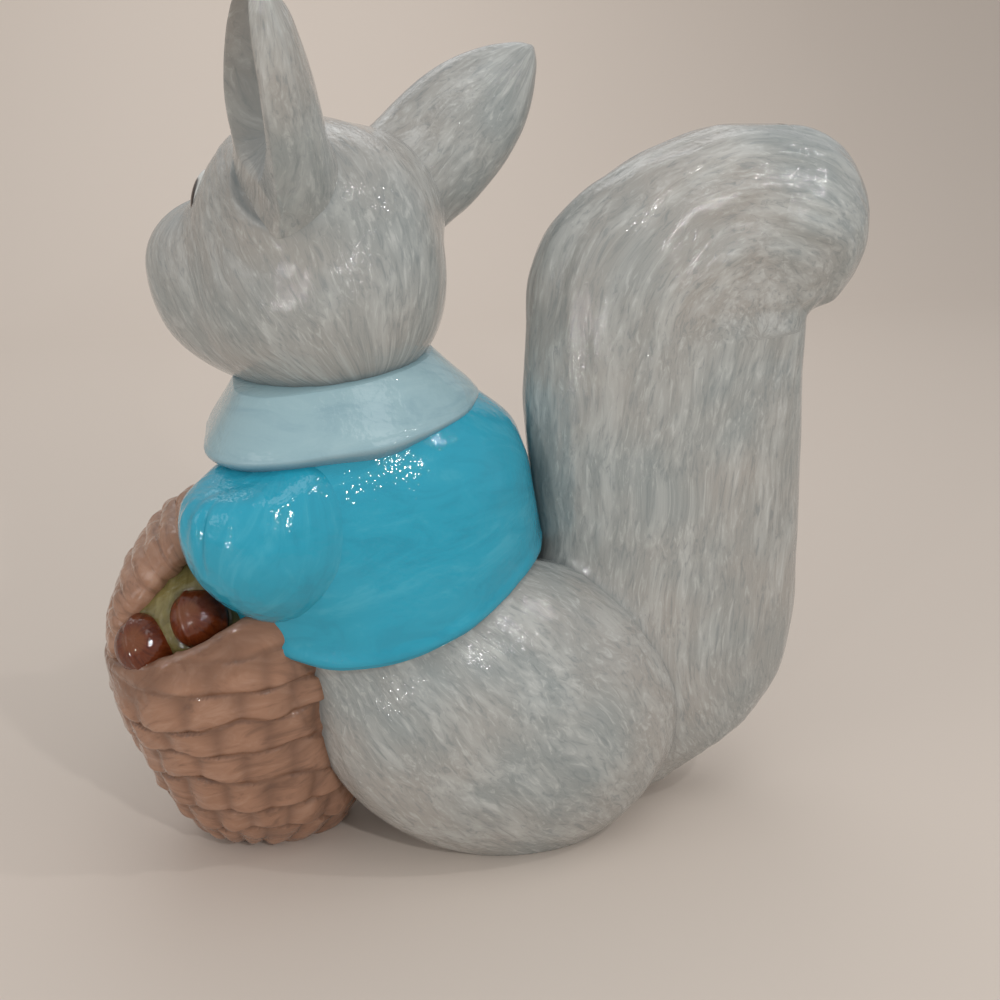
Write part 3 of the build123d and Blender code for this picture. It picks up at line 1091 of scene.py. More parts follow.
@dataclass
class Torso(EdgedCasting):
    """The jacket: level ovals from the hem to the neck, with a rolled hem."""

    seat: float = 62.0
    height: float = 108.0
    reach: float = 56.0
    half_width: float = 54.0
    middle: float = -25.0
    shares: Rows = (
        (0.00, 0.92, 0.92, 0.92), (0.16, 1.04, 0.97, 0.97), (0.32, 1.08, 0.98, 0.98),
        (0.48, 1.05, 0.965, 0.965), (0.64, 1.00, 0.92, 0.92), (0.77, 1.00, 0.87, 0.87),
        (0.88, 0.98, 0.76, 0.80), (1.00, 0.89, 0.43, 0.68),
    )
    edge: Rows = (
        (-1.30, 0.280), (-0.75, 0.253), (-0.45, 0.226), (-0.18, 0.242), (0.11, 0.274),
        (0.36, 0.317), (0.59, 0.371), (0.80, 0.419), (1.10, 0.440),
    )
    edge_guess: float = 0.3
    roll: float = 1.8
    seam: float = 22.0

    def strokes(self) -> Strokes:
        """Round the jacket from the front to the back."""
        return Strokes((0.0, -25.0, 120.0), (0.0, 1.0, 0.15), 45.0)

    def neighbours(self) -> tuple[Form, ...]:
        """The sleeves and the tail."""
        return forms((*SLEEVES, TAIL))

    def pool(self, points: Points) -> Points:
        """Painted shade in the creases along the sleeves and the tail, and a thin darker line at
        the hem.
        """
        above = np.abs(points[:, 2] - self.edge_height(points[:, 1]) - 1.5)
        return np.maximum(0.3 * crease_shade(points, self.neighbours(), 2.2), 0.5 * np.exp(-above / 0.7))

    def shells(self) -> list[Points]:
        """A profile carried round the torso: in under the hem, round its roll and up to the neck.

        Returns:
            One grid of rings.
        """
        stack, turn = self.form(), turns(280)
        hem, top = self.edge_round(turn), self.seat + self.height
        rise = np.linspace(0, 1, 190)[:, None] ** 1.15
        levels = hem + self.roll + (top - hem - self.roll) * rise
        outside = stack.on(turn[None], levels)
        edge = stack.on(turn[None], hem[None])
        inward = -normals(outside)[:1] * LEVEL
        lip = rolled(edge, inward, self.roll, np.linspace(-np.pi / 2, 0, 9)[:-1], -1.0)
        under = edge + inward * np.array((14.0, 7.0, 3.0, 1.8))[:, None, None]
        under[0, :, 2] += 3.0
        swell = 0.55 * bell(levels - hem, 3.2, 2.6)
        rings = np.concatenate((under, lip, raise_by(outside, swell)))
        rings = meet(rings, forms(SLEEVES), self.seam)
        return [raise_by(rings, uneven(rings, (0.35, 16.0, 11), (0.2, 7.0, 12)))]


@dataclass
class Collar(Casting):
    """The shawl collar: tilted ovals with a rolled hem band, squarer in front."""

    foot: float = 155.5
    half_width: float = 47.0
    half_length: float = 46.0
    rise: float = 21.5
    middle: float = -39.0
    tilt: float = 7.5
    shares: Rows = (
        (0.00, 0.91, 0.91), (0.09, 0.965, 0.965), (0.18, 0.998, 0.998), (0.27, 1.0, 1.005),
        (0.36, 0.965, 0.975), (0.60, 0.855, 0.885), (1.00, 0.70, 0.73),
    )
    band: float = 5.6
    squareness: float = 0.9
    reach_past: float = 25.0
    skirt_foot: float = -0.8

    def place(self) -> Place:
        """The collar's place, which leans forward."""
        return Place.standing((0.0, self.middle, self.foot), -self.tilt)

    def form(self) -> OvalStack:
        """The collar's ovals in its own place, without the rolled band.

        Returns:
            The ovals, carried on 6 mm down inside the jacket.
        """
        rise, width, length = np.array(self.shares).T
        long = length * self.half_length
        rows = np.stack((rise * self.rise, -long, long, width * self.half_width), -1)
        return OvalStack(np.concatenate((rows[:1] - (6, 0, 0, 0), rows)), place=self.place())

    def skirt(self) -> OvalStack:
        """All that lies above the hem's level, out past the collar, which a tucked form leaves.

        Returns:
            Its ovals.
        """
        width, length = self.half_width + self.reach_past, self.half_length + self.reach_past
        levels = (self.skirt_foot, self.rise, 2 * self.rise)
        rows = [(level, -length, length, width) for level in levels]
        return OvalStack(np.array(rows), place=self.place())

    def strokes(self) -> Strokes:
        """Round the collar."""
        return Strokes((0.0, -39.0, 165.0), (0.0, 1.0, 0.0), 40.0)

    def pool(self, points: Points) -> Points:
        """A darker, bluer band along the rolled hem, and painted shade in a dark line at the neck.
        """
        band = 0.8 * bell(self.place().local(points)[:, 2], 2.0, 2.6)
        return np.maximum(band, 0.5 * crease_shade(points, forms((HEAD,)), 1.5))

    def shells(self) -> list[Points]:
        """A profile carried round an oval: in under the hem, round the rolled band, up to the neck.

        In front the oval is squarer: |cos|^n + |sin|^n = 1, with n up to 2 plus the squareness.

        Returns:
            One grid of rings.
        """
        turn = turns(300)[None]
        rise, width, length = np.array(self.shares).T
        slope = np.linspace(self.band + 0.6, self.rise, 60)
        up = np.concatenate((np.linspace(0, self.band, 16), slope))[:, None]
        wide = smooth_read(up / self.rise, rise, width) * self.half_width
        long = smooth_read(up / self.rise, rise, length) * self.half_length
        half = self.band / 2
        roll = 0.5 * np.sqrt(np.clip(1 - ((up - half) / half) ** 2, 0, 1))
        groove = -0.35 * bell(up - self.band, 0.6, 0.8)
        square = squarer(turn, 2 + self.squareness * np.clip(0.5 - 1.2 * np.sin(turn), 0, 1))
        wave = 0.7 * np.sin(5 * turn + 0.6) + 0.5 * np.sin(9 * turn)
        out = roll + groove + np.exp(-up / 7) * wave
        places = (
            (wide + out) * square * np.cos(turn), (long + out) * square * np.sin(turn), up
        )
        local = np.stack(np.broadcast_arrays(*places), -1)
        inner = local[:1] * (np.array((0.80, 0.93, 0.985))[:, None, None] * LEVEL + UP)
        rings = self.place().world(np.concatenate((inner, local)))
        return [raise_by(rings, uneven(rings, (0.3, 11.0, 21)))]


@dataclass(frozen=True)
class Lobe:
    """One egg of the head: its half sizes, and how far it lies forward and up."""

    half: Triple
    forward: float = 0.0
    rise: float = 0.0


@dataclass
class Head(Casting):
    """Skull, jowls, muzzle, chin and brow, turned to the squirrel's right."""

    turn: float = 44.0
    roll: float = 6.0
    middle: Triple = (-2.0, -43.0, 213.0)
    skull: Lobe = Lobe((39.0, 39.0, 42.0))
    jowl: Lobe = Lobe((37.0, 38.0, 30.0), 0.0, -16.0)
    muzzle: Lobe = Lobe((29.0, 30.0, 24.0), 39.5, -7.0)
    chin: Lobe = Lobe((26.0, 38.0, 22.0), 26.0, -22.0)
    brow: Lobe = Lobe((29.0, 23.0, 26.0), 16.5, 15.0)
    join: float = 12.0
    ear_seam: float = 18.0
    relief: float = 0.3

    def place(self) -> Place:
        """The head's own place: it looks along its own -Y.

        Returns:
            The place.
        """
        turn, roll = np.radians(self.turn), np.radians(self.roll)
        across = (np.cos(turn) * np.cos(roll), -np.sin(turn) * np.cos(roll), np.sin(roll))
        up = (-np.cos(turn) * np.sin(roll), np.sin(turn) * np.sin(roll), np.cos(roll))
        return Place(np.array(self.middle), np.array((across, np.cross(up, across), up)))

    def form(self) -> Form:
        """The eggs of the head, softly joined.

        Returns:
            The form.
        """
        place = self.place()
        lobes = (self.skull, self.jowl, self.muzzle, self.chin, self.brow)
        eggs = (Egg((0.0, -lobe.forward, lobe.rise), lobe.half, place) for lobe in lobes)
        return Luted(tuple(eggs), self.join)

    def strokes(self) -> Strokes:
        """From the muzzle over the cheeks and the crown to the nape."""
        axis = np.array((0.0, 0.6, -0.8)) @ self.place().axes
        return Strokes(tuple(self.place().world((0.0, -12.0, -6.0))), tuple(axis), 40.0)

    def neighbours(self) -> tuple[Form, ...]:
        """The ears, the eyes and the collar."""
        return forms((*EARS, *EYES, COLLAR))

    def shells(self) -> list[Points]:
        """Rays from inside the head round its own nose-to-nape axis, with brushed relief.

        Returns:
            One grid of rings.
        """
        place = self.place()
        across, back, up = place.axes
        core = Place(place.world((0.0, -14.0, -6.0)), np.array((across, up, -back)))
        rings = ray_rings(self.form(), core, rows=240, columns=300, reach=110.0)
        rings = meet(rings, forms(EARS), self.ear_seam)
        return [raise_by(rings, fur_relief(self.strokes().flow(rings), self.relief))]


@dataclass
class Ear(Casting):
    """An ear: a leaf of ovals along its axis, hollowed on its open side."""

    side: Side
    length: float = 66.0
    half_width: float = 21.0
    half_thickness: float = 18.0
    root_at: Triple = (33.0, 7.0, 23.0)
    outward: float = 55.0
    lean: float = 47.0
    opening: float = 58.0
    rim: float = 4.5
    scoop: float = 6.5
    slant: float = 0.22
    shares: Rows = (
        (-0.26, 0.08, 0.10), (-0.24, 0.32, 0.36), (-0.18, 0.58, 0.64), (-0.08, 0.80, 0.86),
        (0.08, 0.97, 0.98), (0.30, 1.0, 0.92), (0.52, 0.92, 0.80), (0.72, 0.72, 0.64),
        (0.88, 0.42, 0.46), (0.97, 0.18, 0.26), (1.0, 0.06, 0.11),
    )
    head_seam: float = 14.0
    lip: float = 4.0
    relief: float = 0.2

    def place(self) -> Place:
        """The ear's root: Z runs along the ear, and Y faces its back.

        Returns:
            The place.
        """
        sign = self.side.value
        outward, lean, opening = np.radians((self.outward, self.lean, self.opening))
        level = np.cos(lean)
        along = np.array((sign * level * np.sin(outward), level * np.cos(outward), np.sin(lean)))
        back = np.array((-sign * np.sin(opening), np.cos(opening), 0.0))
        x, y, z = self.root_at
        return HEAD.place().inner((sign * x, y, z), along, back)

    def halves(self, share: Points) -> tuple[Points, Points]:
        """Half width and half thickness of the ear, by smooth_read.

        Args:
            share: where along the ear, as a part of its length.

        Returns:
            The two, in millimetres.
        """
        rise, wide, thick = np.array(self.shares).T
        half_width = smooth_read(share, rise, wide) * self.half_width
        return half_width, smooth_read(share, rise, thick) * self.half_thickness

    def front(self, share: Points) -> Points:
        """How much of the open side's thickness is left: less at the root, all from a third up."""
        return 0.62 + 0.38 * ease(ramp(share, -0.02, 0.36))

    def form(self) -> OvalStack:
        """The ear's ovals in its own place, without the hollow.

        Returns:
            The ovals.
        """
        rise, wide, thick = np.array(self.shares).T
        deep = thick * self.half_thickness
        front = -deep * self.front(rise)
        rows = np.stack((rise * self.length, front, deep, wide * self.half_width), -1)
        return OvalStack(rows, place=self.place())

    def strokes(self) -> Strokes:
        """Along the ear from its root to its tip."""
        place = self.place()
        return Strokes(tuple(place.world((0.0, 3.0, 0.0))), tuple(place.axes[2]), 16.0)

    def neighbours(self) -> tuple[Form, ...]:
        """The head."""
        return forms((HEAD,))

    def pool(self, points: Points) -> Points:
        """Painted shade at the root and down in the opening.

        Args:
            points: where, in millimetres.

        Returns:
            A share from 0 to 1 for each point.
        """
        local = self.place().local(points)
        share = ramp(local[:, 2], 0, self.length)
        width, thick = self.halves(share)
        # painted shade that deepens down into the opening
        deep = np.clip((local[:, 1] + thick * 0.55) / 6, 0, 1) * (local[:, 1] < thick * 0.6)
        inside = deep * ramp(0.86 - np.abs(local[:, 0]) / width, 0, 0.12) * (share > 0.1)
        return np.maximum(0.6 * crease_shade(points, self.neighbours(), 1.6), 0.45 * inside)

    def shells(self) -> list[Points]:
        """Ovals x = w cos t, y = h sin t along the ear; the open side's y gives way to the scoop's.

        The scoop's floor is an oval drawn in by the rim, narrower and shallower towards the root,
        and set on a plane that slants back towards the ear's outer edge. The softer of the two
        bounds is kept, so that the lip is rounded.

        Returns:
            One grid of rings.
        """
        share = (0.37 - 0.63 * np.cos(np.linspace(0, np.pi, 190)))[:, None]
        half_width, half_thick = self.halves(share)
        turn = turns(200)[None]
        x, y = half_width * np.cos(turn), half_thick * np.sin(turn)
        open_out = ramp(share, 0.08, 0.34) ** 0.7
        inner_width = half_width * (1 - self.rim / self.half_width) * (0.4 + 0.6 * open_out)
        dome = np.sqrt(np.clip(1 - (x / inner_width) ** 2, 0, 1)) ** 1.5
        depth = half_thick * (1 - self.rim / self.half_thickness) * open_out
        mouth = (self.slant * self.side.value * x - self.scoop) * half_thick / self.half_thickness
        open_side = -soft_union(-y * self.front(share), -(mouth + depth * dome), self.lip)
        hollow = np.minimum(open_side, half_thick * 0.75)
        inward = ease(ramp(-np.sin(turn), 0, 0.3))
        y = np.where(np.sin(turn) < 0, y * self.front(share), y) * (1 - inward) + hollow * inward
        local = np.stack((x, y, share * self.length + 0 * turn), -1)
        rings = meet(self.place().world(local), forms((HEAD,)), self.head_seam)
        fur = fur_relief(self.strokes().flow(rings), self.relief)
        return [raise_by(rings, fur * ramp(1 - share, 0, 0.15))]


@dataclass
class Sleeve(Casting):
    """A puffed sleeve on one shoulder, with shallow creases from under the collar."""

    side: Side
    half: Triple = (22.0, 24.5, 25.0)
    at: Triple = (38.0, -69.5, 131.0)
    cap_half: Triple = (19.0, 22.0, 18.0)
    cap_inward: float = 4.0
    cap_rise: float = 7.0
    cap_join: float = 10.0
    tuck: float = 5.0
    seam: float = 22.0

    def form(self) -> Egg:
        """The plain puff."""
        x, y, z = self.at
        return Egg((self.side.value * x, y, z), self.half)

    def tucked(self) -> Form:
        """The puff with its shoulder cap, drawn in under the collar's hem.

        Returns:
            The form.
        """
        x, y, z = self.at
        cap = Egg((self.side.value * (x - self.cap_inward), y, z + self.cap_rise), self.cap_half)
        return Tucked(Luted((self.form(), cap), self.cap_join), COLLAR.skirt(), self.tuck)

    def strokes(self) -> Strokes:
        """Down the sleeve from the collar."""
        return Strokes(self.form().middle, (0.0, -0.35, -0.94), 22.0)

    def neighbours(self) -> tuple[Form, ...]:
        """The jacket and the collar."""
        return forms((TORSO, COLLAR))

    def pool(self, points: Points) -> Points:
        """Painted shade: a soft darker line in the creases against the jacket and the collar."""
        return 0.3 * crease_shade(points, self.neighbours(), 2.2)

    def shells(self) -> list[Points]:
        """Rays from the middle of the puff, with a fold that runs down its front.

        The fold is a groove with ridges behind it, each at one turn round the puff in degrees, and
        it fades out below the middle and under the collar.

        Returns:
            One grid of rings.
        """
        middle = self.form().middle
        place = Place.standing(middle)
        rings = ray_rings(self.tucked(), place, rows=150, columns=200, reach=60.0)
        rings = meet(rings, forms((TORSO,)), self.seam)
        local = (rings - middle) / self.half
        turn = np.degrees(np.arctan2(-local[..., 1], self.side.value * local[..., 0]))
        fade = ramp(COLLAR.skirt().field(rings), 0, 6) * ramp(local[..., 2], -0.35, 0.6)
        ridge = bell(turn, 57, 5.0) + 0.6 * bell(turn, 74, 5.0)
        worn = uneven(rings, (0.35, 14.0, 31), (0.2, 3.6, 32)) - 0.4
        return [raise_by(rings, fade * (0.8 * ridge - 1.1 * bell(turn, 48, 2.6)) + worn)]


@dataclass
class Basket(EdgedCasting):
    """The woven basket: a tapering bowl with soft courses over stakes, and a rolled rim."""

    seat: float = 0.0
    middle: float = -80.0
    height: float = 108.0
    reach: float = 47.0
    half_width: float = 46.0
    shares: Rows = (
        (0.00, 0.31, 0.70, 0.29), (0.035, 0.39, 0.77, 0.39), (0.08, 0.47, 0.84, 0.49),
        (0.15, 0.58, 0.90, 0.61), (0.24, 0.68, 0.94, 0.72), (0.37, 0.79, 0.95, 0.81),
        (0.55, 0.92, 0.92, 0.90), (0.74, 0.98, 0.88, 0.96), (1.00, 1.00, 0.85, 1.00),
    )
    edge: Rows = (
        (-1.30, 0.735), (-0.77, 0.802), (-0.43, 0.868), (-0.16, 0.925), (0.06, 0.975),
        (1.20, 0.985),
    )
    edge_guess: float = 0.85
    course: float = 13.2
    strand: float = 7.8
    relief: float = 2.6
    squareness: float = 0.5
    roll: float = 2.5

    def strokes(self) -> Strokes:
        """Round the basket, along its courses."""
        return Strokes((0.0, -80.0, 50.0), (0.0, 1.0, 0.2), 40.0)

    def pool(self, points: Points) -> Points:
        """Painted shade between the strands, and in the creases against the jacket and the
        haunches.
        """
        crease = 0.5 * crease_shade(points, forms((TORSO, HAUNCHES)), 1.5)
        # painted shade, darker where the weave sinks
        return np.maximum(crease, np.clip(0.55 - 1.1 * self.weave(points), 0, 0.6))

    def weave(self, points: Points) -> Points:
        """Height share of the weave: courses that overhang like shingles, strands over and under.

        A course swells within a quarter of its height and thins by 0.65 of the way up. Round the
        bowl the strands are as long as a stake's spacing, and each course is moved on by half a
        strand. The weave fades out under the rim.

        Args:
            points: where, in millimetres.

        Returns:
            A share for each point, from about -0.2 to 1.2.
        """
        turn = np.arctan2(points[..., 1] - self.middle, points[..., 0])
        stakes = round(2 * np.pi * self.half_width * 0.8 / self.strand / 2) * 2
        warp = uneven(points, (0.3, 16.0, 41))
        up = points[..., 2] / self.course + warp
        row = np.floor(up)
        part = up - row
        bulge = ease(ramp(part, 0, 0.26)) * (1 - 0.65 * part) / 0.83
        over = 0.5 + 0.5 * np.cos(turn * stakes / 2 + np.pi * row + 1.2 * warp)
        stake = np.abs(np.sin(turn * stakes / 2 + np.pi / 2)) ** 4
        height = bulge * (0.45 + 0.55 * over) - 0.2 * stake * (1 - over)
        below = self.edge_height(points[..., 1]) - points[..., 2]
        rough = 0.85 + uneven(points, (0.35, 12.0, 44))
        return height * rough * (0.2 + 0.8 * ramp(below, 6, 16))

    def shells(self) -> list[Points]:
        """Up the outside with the weave, over the rolled rim and down inside to the lining.

        Towards the rim the ovals grow squarer: |cos|^n + |sin|^n = 1, with n up to 2.5.

        Returns:
            One grid of rings.
        """
        stack, turn = self.form(), turns(400)
        rim = self.edge_round(turn)
        share = np.linspace(0, 1, 220)[:, None]
        outside = stack.on(turn[None], share * (rim - self.roll))
        square = squarer(turn, 2 + self.squareness * ramp(share, 0.6, 0.35))
        centre = np.array((0.0, self.middle, 0.0))
        outside = centre + (outside - centre) * (square[..., None] * LEVEL + UP)
        outside = raise_by(outside, self.relief * (self.weave(outside) - 0.4))
        inward = -normals(outside)[-1:] * LEVEL
        lip = rolled(outside[-1:], inward, self.roll, np.linspace(0, np.pi, 14)[1:], 0.0)
        inside = lip[-1:] - UP * np.linspace(2, 26, 8)[:, None, None]
        rings = np.concatenate((outside, lip, inside))
        rings = raise_by(rings, uneven(rings, (0.4, 4.5, 42), (0.5, 9.0, 43)))
        rings[..., 2] = np.maximum(rings[..., 2], 0)
        return [rings]


@dataclass
class Handle(Casting):
    """The arched handle: a broad band with cross ribs, from the front rim to the chest."""

    middle: float = -80.0
    half_width: float = 23.0
    thickness: float = 15.0
    reach: float = 47.0
    rise: float = 70.0
    foot: float = 70.0
    shares: Rows = (
        (0.880, 0.0), (0.930, 0.13), (0.930, 0.27), (0.860, 0.43), (0.735, 0.60), (0.550, 0.75),
        (0.306, 0.88), (0.040, 0.965), (-0.200, 1.0),
    )
    rib: float = 7.6
    rib_height: float = 1.6

    def strokes(self) -> Strokes:
        """Across the band, along its ribs."""
        return Strokes((0.0, -85.0, 95.0), (1.0, 0.0, 0.0), 35.0)

    def pool(self, points: Points) -> Points:
        """Painted shade in the creases against the sleeves."""
        return 0.5 * crease_shade(points, forms(SLEEVES), 1.5)

    def shells(self) -> list[Points]:
        """A rounded band |x/w|^3 + |y/h|^2 = 1 carried along the crown, with ribs across it.

        Returns:
            One grid of rings.
        """
        forward, up = np.array(self.shares).T
        rows = np.stack((self.middle - forward * self.reach, self.foot + up * self.rise), -1)
        knots = np.concatenate(([0], np.cumsum(np.linalg.norm(np.diff(rows, axis=0), axis=1))))
        path = np.linspace(0, knots[-1], 230)
        crown = np.stack([smooth_read(path, knots, rows[:, column]) for column in (0, 1)], -1)
        along = unit(np.gradient(crown, axis=0))
        outward = np.stack((0 * path, -along[:, 1], along[:, 0]), -1)
        turn = turns(160)
        power = np.sign(np.cos(turn)) * np.abs(np.cos(turn)) ** (2 / 3)
        rib = self.rib_height * (np.abs(np.sin(np.pi * path / self.rib)) ** 0.6 - 0.6)
        half = self.thickness / 2
        lift = half * np.sin(turn)[None] * (1 + rib[:, None] / half) - half
        centre = np.stack((0 * path, crown[:, 0], crown[:, 1]), -1)
        side = np.array((1.0, 0.0, 0.0)) * (self.half_width * power)[None, :, None]
        rings = centre[:, None] + side + outward[:, None] * lift[..., None]
        return [raise_by(rings, uneven(rings, (0.7, 7.0, 51), (0.3, 3.5, 52)))]


@dataclass
class Lining(Casting):
    """Folded lining heaped under the handle."""

    half: Triple = (33.0, 33.0, 39.0)
    at: Triple = (0.0, -90.0, 83.0)
    seam: float = 10.0

    def strokes(self) -> Strokes:
        """Up over the heap."""
        return Strokes(self.at, (0.0, 0.0, 1.0), 25.0)

    def shells(self) -> list[Points]:
        """Rays from its middle, with folds round the nuts.

        Returns:
            One grid of rings.
        """
        heap, place = Egg(self.at, self.half), Place.standing(self.at)
        rings = ray_rings(heap, place, rows=120, columns=160, reach=60.0)
        rings = meet(rings, forms(NUTS), self.seam)
        return [raise_by(rings, uneven(rings, (0.6, 6.0, 61), (0.3, 3.0, 62)) - 0.4)]

    def pool(self, points: Points) -> Points:
        """Painted shade in the creases round the nuts."""
        return 0.7 * crease_shade(points, forms(NUTS), 1.5)


@dataclass
class Chestnut(Casting):
    """A chestnut: a ball with two soft ridges and a tan patch."""

    middle: Triple
    facing: Triple
    radius: float = 10.8
    ridges: Rows = ((0.35, 0.85, 0.4), (0.8, -0.5, 0.35))

    def form(self) -> Egg:
        """The plain ball."""
        return Egg(self.middle, (self.radius,) * 3)

    def strokes(self) -> Strokes:
        """From the patch round to the nut's point."""
        return Strokes(self.middle, self.facing, 9.0)

    def mark(self, points: Points) -> Points:
        """The tan patch: where a ray from the middle points near the patch's own direction."""
        near = unit(points - self.middle) @ unit(np.array(self.facing))
        return 0.4 * ramp(near + uneven(points, (0.05, 3.0, 71)), 0.87, 0.08)

    def shells(self) -> list[Points]:
        """Rays from its middle, raised along two ridges and a little flat between them.

        Returns:
            One grid of rings.
        """
        place = Place.standing(self.middle)
        rings = ray_rings(self.form(), place, rows=70, columns=90, reach=30.0)
        aside = unit(rings - self.middle) @ unit(np.array(self.ridges)).T
        return [raise_by(rings, 0.6 * bell(aside, 0, 0.10).sum(-1) - 0.6)]


@dataclass
class Eye(Casting):
    """An eye on the cheek: a white egg with a leaf-shaped pupil."""

    side: Side
    half: Triple = (8.0, 4.0, 9.5)
    angle: float = 29.0
    up: float = 15.5
    reach: float = 39.2
    lean: float = 0.21
    pupil_aside: float = 4.4
    pupil: Pair = (0.40, 0.72)

    def place(self) -> Place:
        """The eye's place: its own -Y looks out of the head.

        Returns:
            The place.
        """
        sign, outward = self.side.value, np.radians(self.angle)
        middle = (sign * self.reach * np.sin(outward), -self.reach * np.cos(outward), self.up)
        back = np.array((-sign * np.sin(outward), np.cos(outward), -0.0))
        return HEAD.place().inner(middle, unit(np.array((0.0, self.lean, 1.0))), back)

    def form(self) -> Egg:
        """The plain egg."""
        return Egg((0.0, 0.0, 0.0), self.half, self.place())

    def strokes(self) -> Strokes:
        """Up the eye."""
        return Strokes(tuple(self.place().origin), (0.0, 0.0, 1.0), 8.0)

    def mark(self, points: Points) -> Points:
        """The pupil: an upright leaf on the outer front of the eye.

        Args:
            points: where, in millimetres.

        Returns:
            A share from 0 to 1 for each point.
        """
        x, y, z = self.place().local(points).T
        aside = x - self.side.value * self.pupil_aside
        width, height = self.pupil
        leaf = np.hypot(aside / (self.half[0] * width), z / (self.half[2] * height))
        return ramp(1 - leaf, 0, 0.12) * (y < 0)

    def shells(self) -> list[Points]:
        """Rays from its middle."""
        return [ray_rings(self.form(), self.place(), rows=60, columns=80, reach=20.0)]


@dataclass
class Nose(Casting):
    """The nose, at the front of the muzzle."""

    half: Triple = (6.0, 4.5, 4.0)
    up: float = -5.0
    forward: float = 68.0

    def form(self) -> Egg:
        """The plain egg."""
        return Egg((0.0, -self.forward, self.up), self.half, HEAD.place())

    def shells(self) -> list[Points]:
        """Rays from its middle."""
        place = HEAD.place().inner((0.0, -self.forward, self.up), UP, np.array((0.0, 1.0, 0.0)))
        return [ray_rings(self.form(), place, rows=50, columns=70, reach=20.0)]


HAUNCHES = Haunches("haunches_and_chest", ("body_casting",), "fur_glaze", FUR)
TAIL = Tail("tail", ("tail_casting",), "fur_glaze", FUR)
TORSO = Torso("short_jacket", ("jacket",), "turquoise_glaze", JACKET_BLUE)
COLLAR = Collar("shawl_collar", ("collar",), "pale_blue_glaze", COLLAR_BLUE)
HEAD = Head("head", ("head_casting",), "fur_glaze", FUR)
EARS = tuple(
    Ear(side.named("ear_leaf"), (side.named("ear"),), "fur_glaze", FUR, side) for side in Side
)
SLEEVES = (
    Sleeve("left_puffed_sleeve", ("left_sleeve",), "turquoise_glaze", JACKET_BLUE, Side.LEFT),
    Sleeve(
        "right_puffed_sleeve", ("right_sleeve",), "turquoise_glaze", JACKET_BLUE, Side.RIGHT,
        at=(38.0, -58.0, 124.0),
    ),
)
BASKET = Basket("woven_basket", ("basket",), "basket_glaze", BASKET_BROWN)
HANDLE = Handle("ribbed_handle", ("basket_handle",), "basket_glaze", BASKET_BROWN)
LINING = Lining("folded_lining", ("basket_lining",), "olive_glaze", LINING_OLIVE)
NUTS = tuple(
    Chestnut(
        side.named(f"{row}_nut"), (side.named(f"{row}_chestnut"),), "chestnut_glaze",
        CHESTNUT_BROWN, (side.value * 27.0, back, height), (side.value * 0.75, -0.35, 0.55),
    )
    for side in Side
    for row, back, height in (("front", -109.0, 92.0), ("rear", -91.5, 99.5))
)
EYES = tuple(
    Eye(side.named("painted_eye"), (side.named("eye"),), "eye_glaze", EYE_WHITE, side)
    for side in Side
)
NOSE = Nose("painted_nose", ("nose",), "nose_glaze", NOSE_BLACK)


# ---------------------------------------------------------------- studio


def set_up(data: bpy.types.ID, at: Triple, aim: Triple) -> bpy.types.Object:
    """Put a lamp or camera in the scene.

    Args:
        data: the lamp or camera.
        at: its place, in millimetres.
        aim: the point that it is turned to.

    Returns:
        Its object.
    """
    made = bpy.data.objects.new(data.name, data)
    made.location = Vector(at) * MM
    made.rotation_euler = (Vector(aim) - Vector(at)).to_track_quat("-Z", "Y").to_euler()
    bpy.context.scene.collection.objects.link(made)
    return made


@dataclass(frozen=True)
class Lamp:
    """A square soft lamp: its place, its size in millimetres, its watts and what it is aimed at."""

    name: str
    at: Triple
    size: float
    power: float
    aim: Triple | None = None


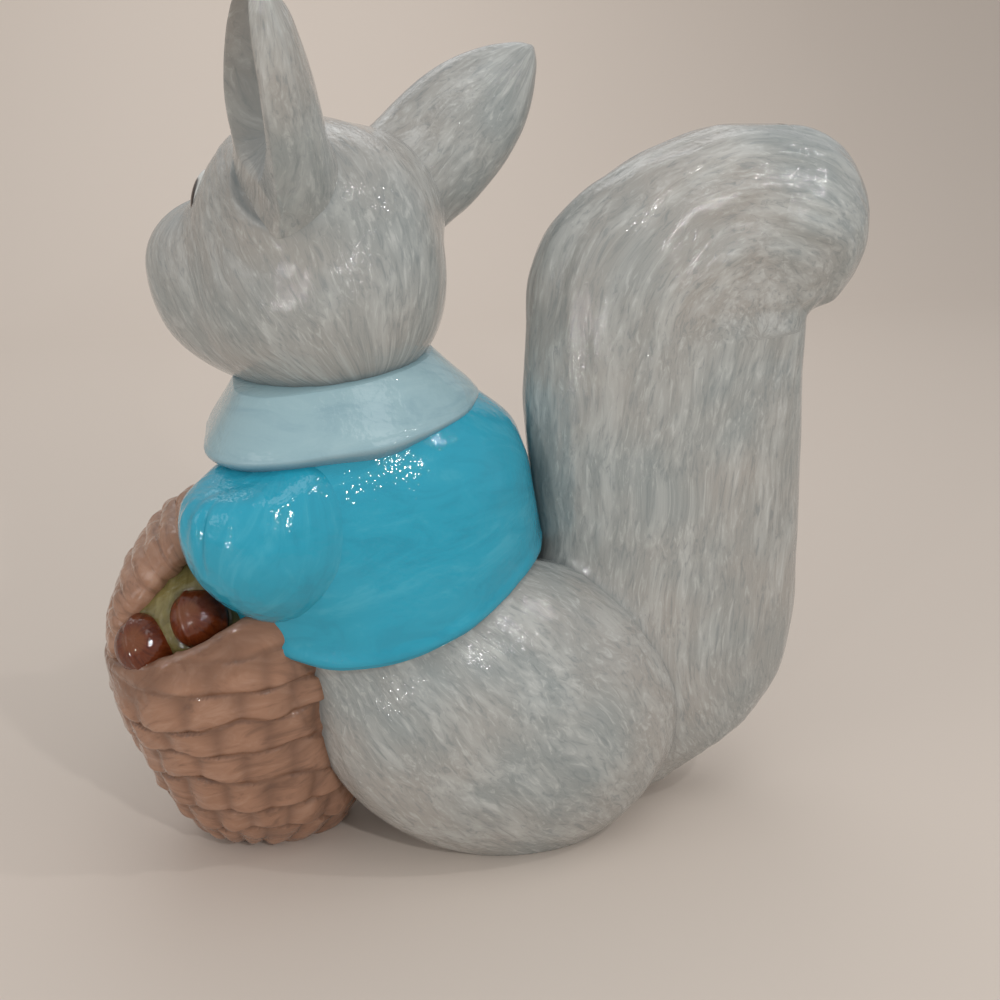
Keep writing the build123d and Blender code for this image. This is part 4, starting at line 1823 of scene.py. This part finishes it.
@dataclass(frozen=True)
class Studio:
    """Plain pale floor and backdrop, soft lamps and the photograph's viewing angle.

    Small lamps give the glaze its glitter, large ones its broad soft light.
    """

    eye: Triple = (399.8, -69.5, 272.3)
    target: Triple = (0.0, 15.5, 123.5)
    lens: float = 43.45
    colour: str = "#cfc3b8"
    world: str = "#ffffff"
    world_strength: float = 0.57
    floor: Pair = (-3000.0, 900.0)
    half_across: float = 3000.0
    curve: float = 700.0
    lamps: tuple[Lamp, ...] = (
        Lamp("overhead", (250.0, 150.0, 1100.0), 500.0, 1.2),
        Lamp("beside_camera", (520.0, 130.0, 400.0), 24.0, 0.75),
        Lamp("front_left", (350.0, -900.0, 600.0), 500.0, 1.0),
        Lamp("high_right", (300.0, 520.0, 740.0), 24.0, 0.7),
        Lamp("low_left", (640.0, -520.0, 130.0), 24.0, 0.8),
        Lamp("on_backdrop", (-900.0, 0.0, 900.0), 900.0, 3.1, (-1150.0, 0.0, 0.0)),
    )

    def backdrop(self) -> None:
        """A level floor that sweeps up behind the figurine: matt painted board, plain to the eye.

        Its section is a line, then y = end + r sin t, z = r (1 - cos t), carried across.
        """
        near, end = self.floor
        sweep = np.linspace(0, 1.5, 30)
        back = np.concatenate((np.linspace(near, end, 40), end + self.curve * np.sin(sweep)))
        up = np.concatenate((np.zeros(40), self.curve * (1 - np.cos(sweep))))
        across = np.linspace(-self.half_across, self.half_across, 30)
        grid = np.stack(np.broadcast_arrays(-back[:, None], across, up[:, None]), -1) * MM
        index = np.arange(grid[..., 0].size).reshape(grid.shape[:2])
        quads = np.stack((index[:-1, 1:], index[1:, 1:], index[1:, :-1], index[:-1, :-1]), -1)
        mesh = bpy.data.meshes.new("backdrop")
        mesh.from_pydata(grid.reshape(-1, 3).tolist(), [], quads.reshape(-1, 4).tolist())
        mesh.polygons.foreach_set("use_smooth", np.ones(len(mesh.polygons), bool))
        made = bpy.data.materials.new("matt_painted_board")
        made.use_nodes = True
        shader = made.node_tree.nodes["Principled BSDF"]
        shader.inputs["Base Color"].default_value = linear(self.colour)
        shader.inputs["Roughness"].default_value = 0.6
        mesh.materials.append(made)
        floor = bpy.data.objects.new("backdrop", mesh)
        bpy.context.scene.collection.objects.link(floor)

    def light(self) -> None:
        """An even world and the lamps, each aimed at the target unless it has its own aim."""
        world = bpy.data.worlds.new("soft_room")
        world.use_nodes = True
        sky = world.node_tree.nodes["Background"]
        sky.inputs["Color"].default_value = linear(self.world)
        sky.inputs["Strength"].default_value = self.world_strength
        bpy.context.scene.world = world
        for lamp in self.lamps:
            light = bpy.data.lights.new(lamp.name, "AREA")
            light.size, light.energy = lamp.size * MM, lamp.power
            set_up(light, lamp.at, lamp.aim or self.target)

    def camera(self) -> None:
        """The photograph's camera: 45 degrees across, level, with everything sharp."""
        lens = bpy.data.cameras.new("photograph")
        lens.lens, lens.sensor_width, lens.dof.use_dof = self.lens, 36.0, False
        lens.clip_start, lens.clip_end = 0.01, 20.0
        bpy.context.scene.camera = set_up(lens, self.eye, self.target)
        bpy.context.scene.view_settings.view_transform = "Standard"


def main() -> None:
    """Set the studio and build every casting in order, logging each one's points."""
    logging.basicConfig(level=logging.INFO, format="%(message)s")
    studio = Studio()
    studio.camera()
    studio.light()
    studio.backdrop()
    castings = (
        HAUNCHES, TAIL, TORSO, COLLAR, HEAD, *EARS, *SLEEVES, BASKET, HANDLE, LINING, *NUTS,
        *EYES, NOSE,
    )
    for casting in castings:
        casting.build()


if __name__ == "__main__":
    main()
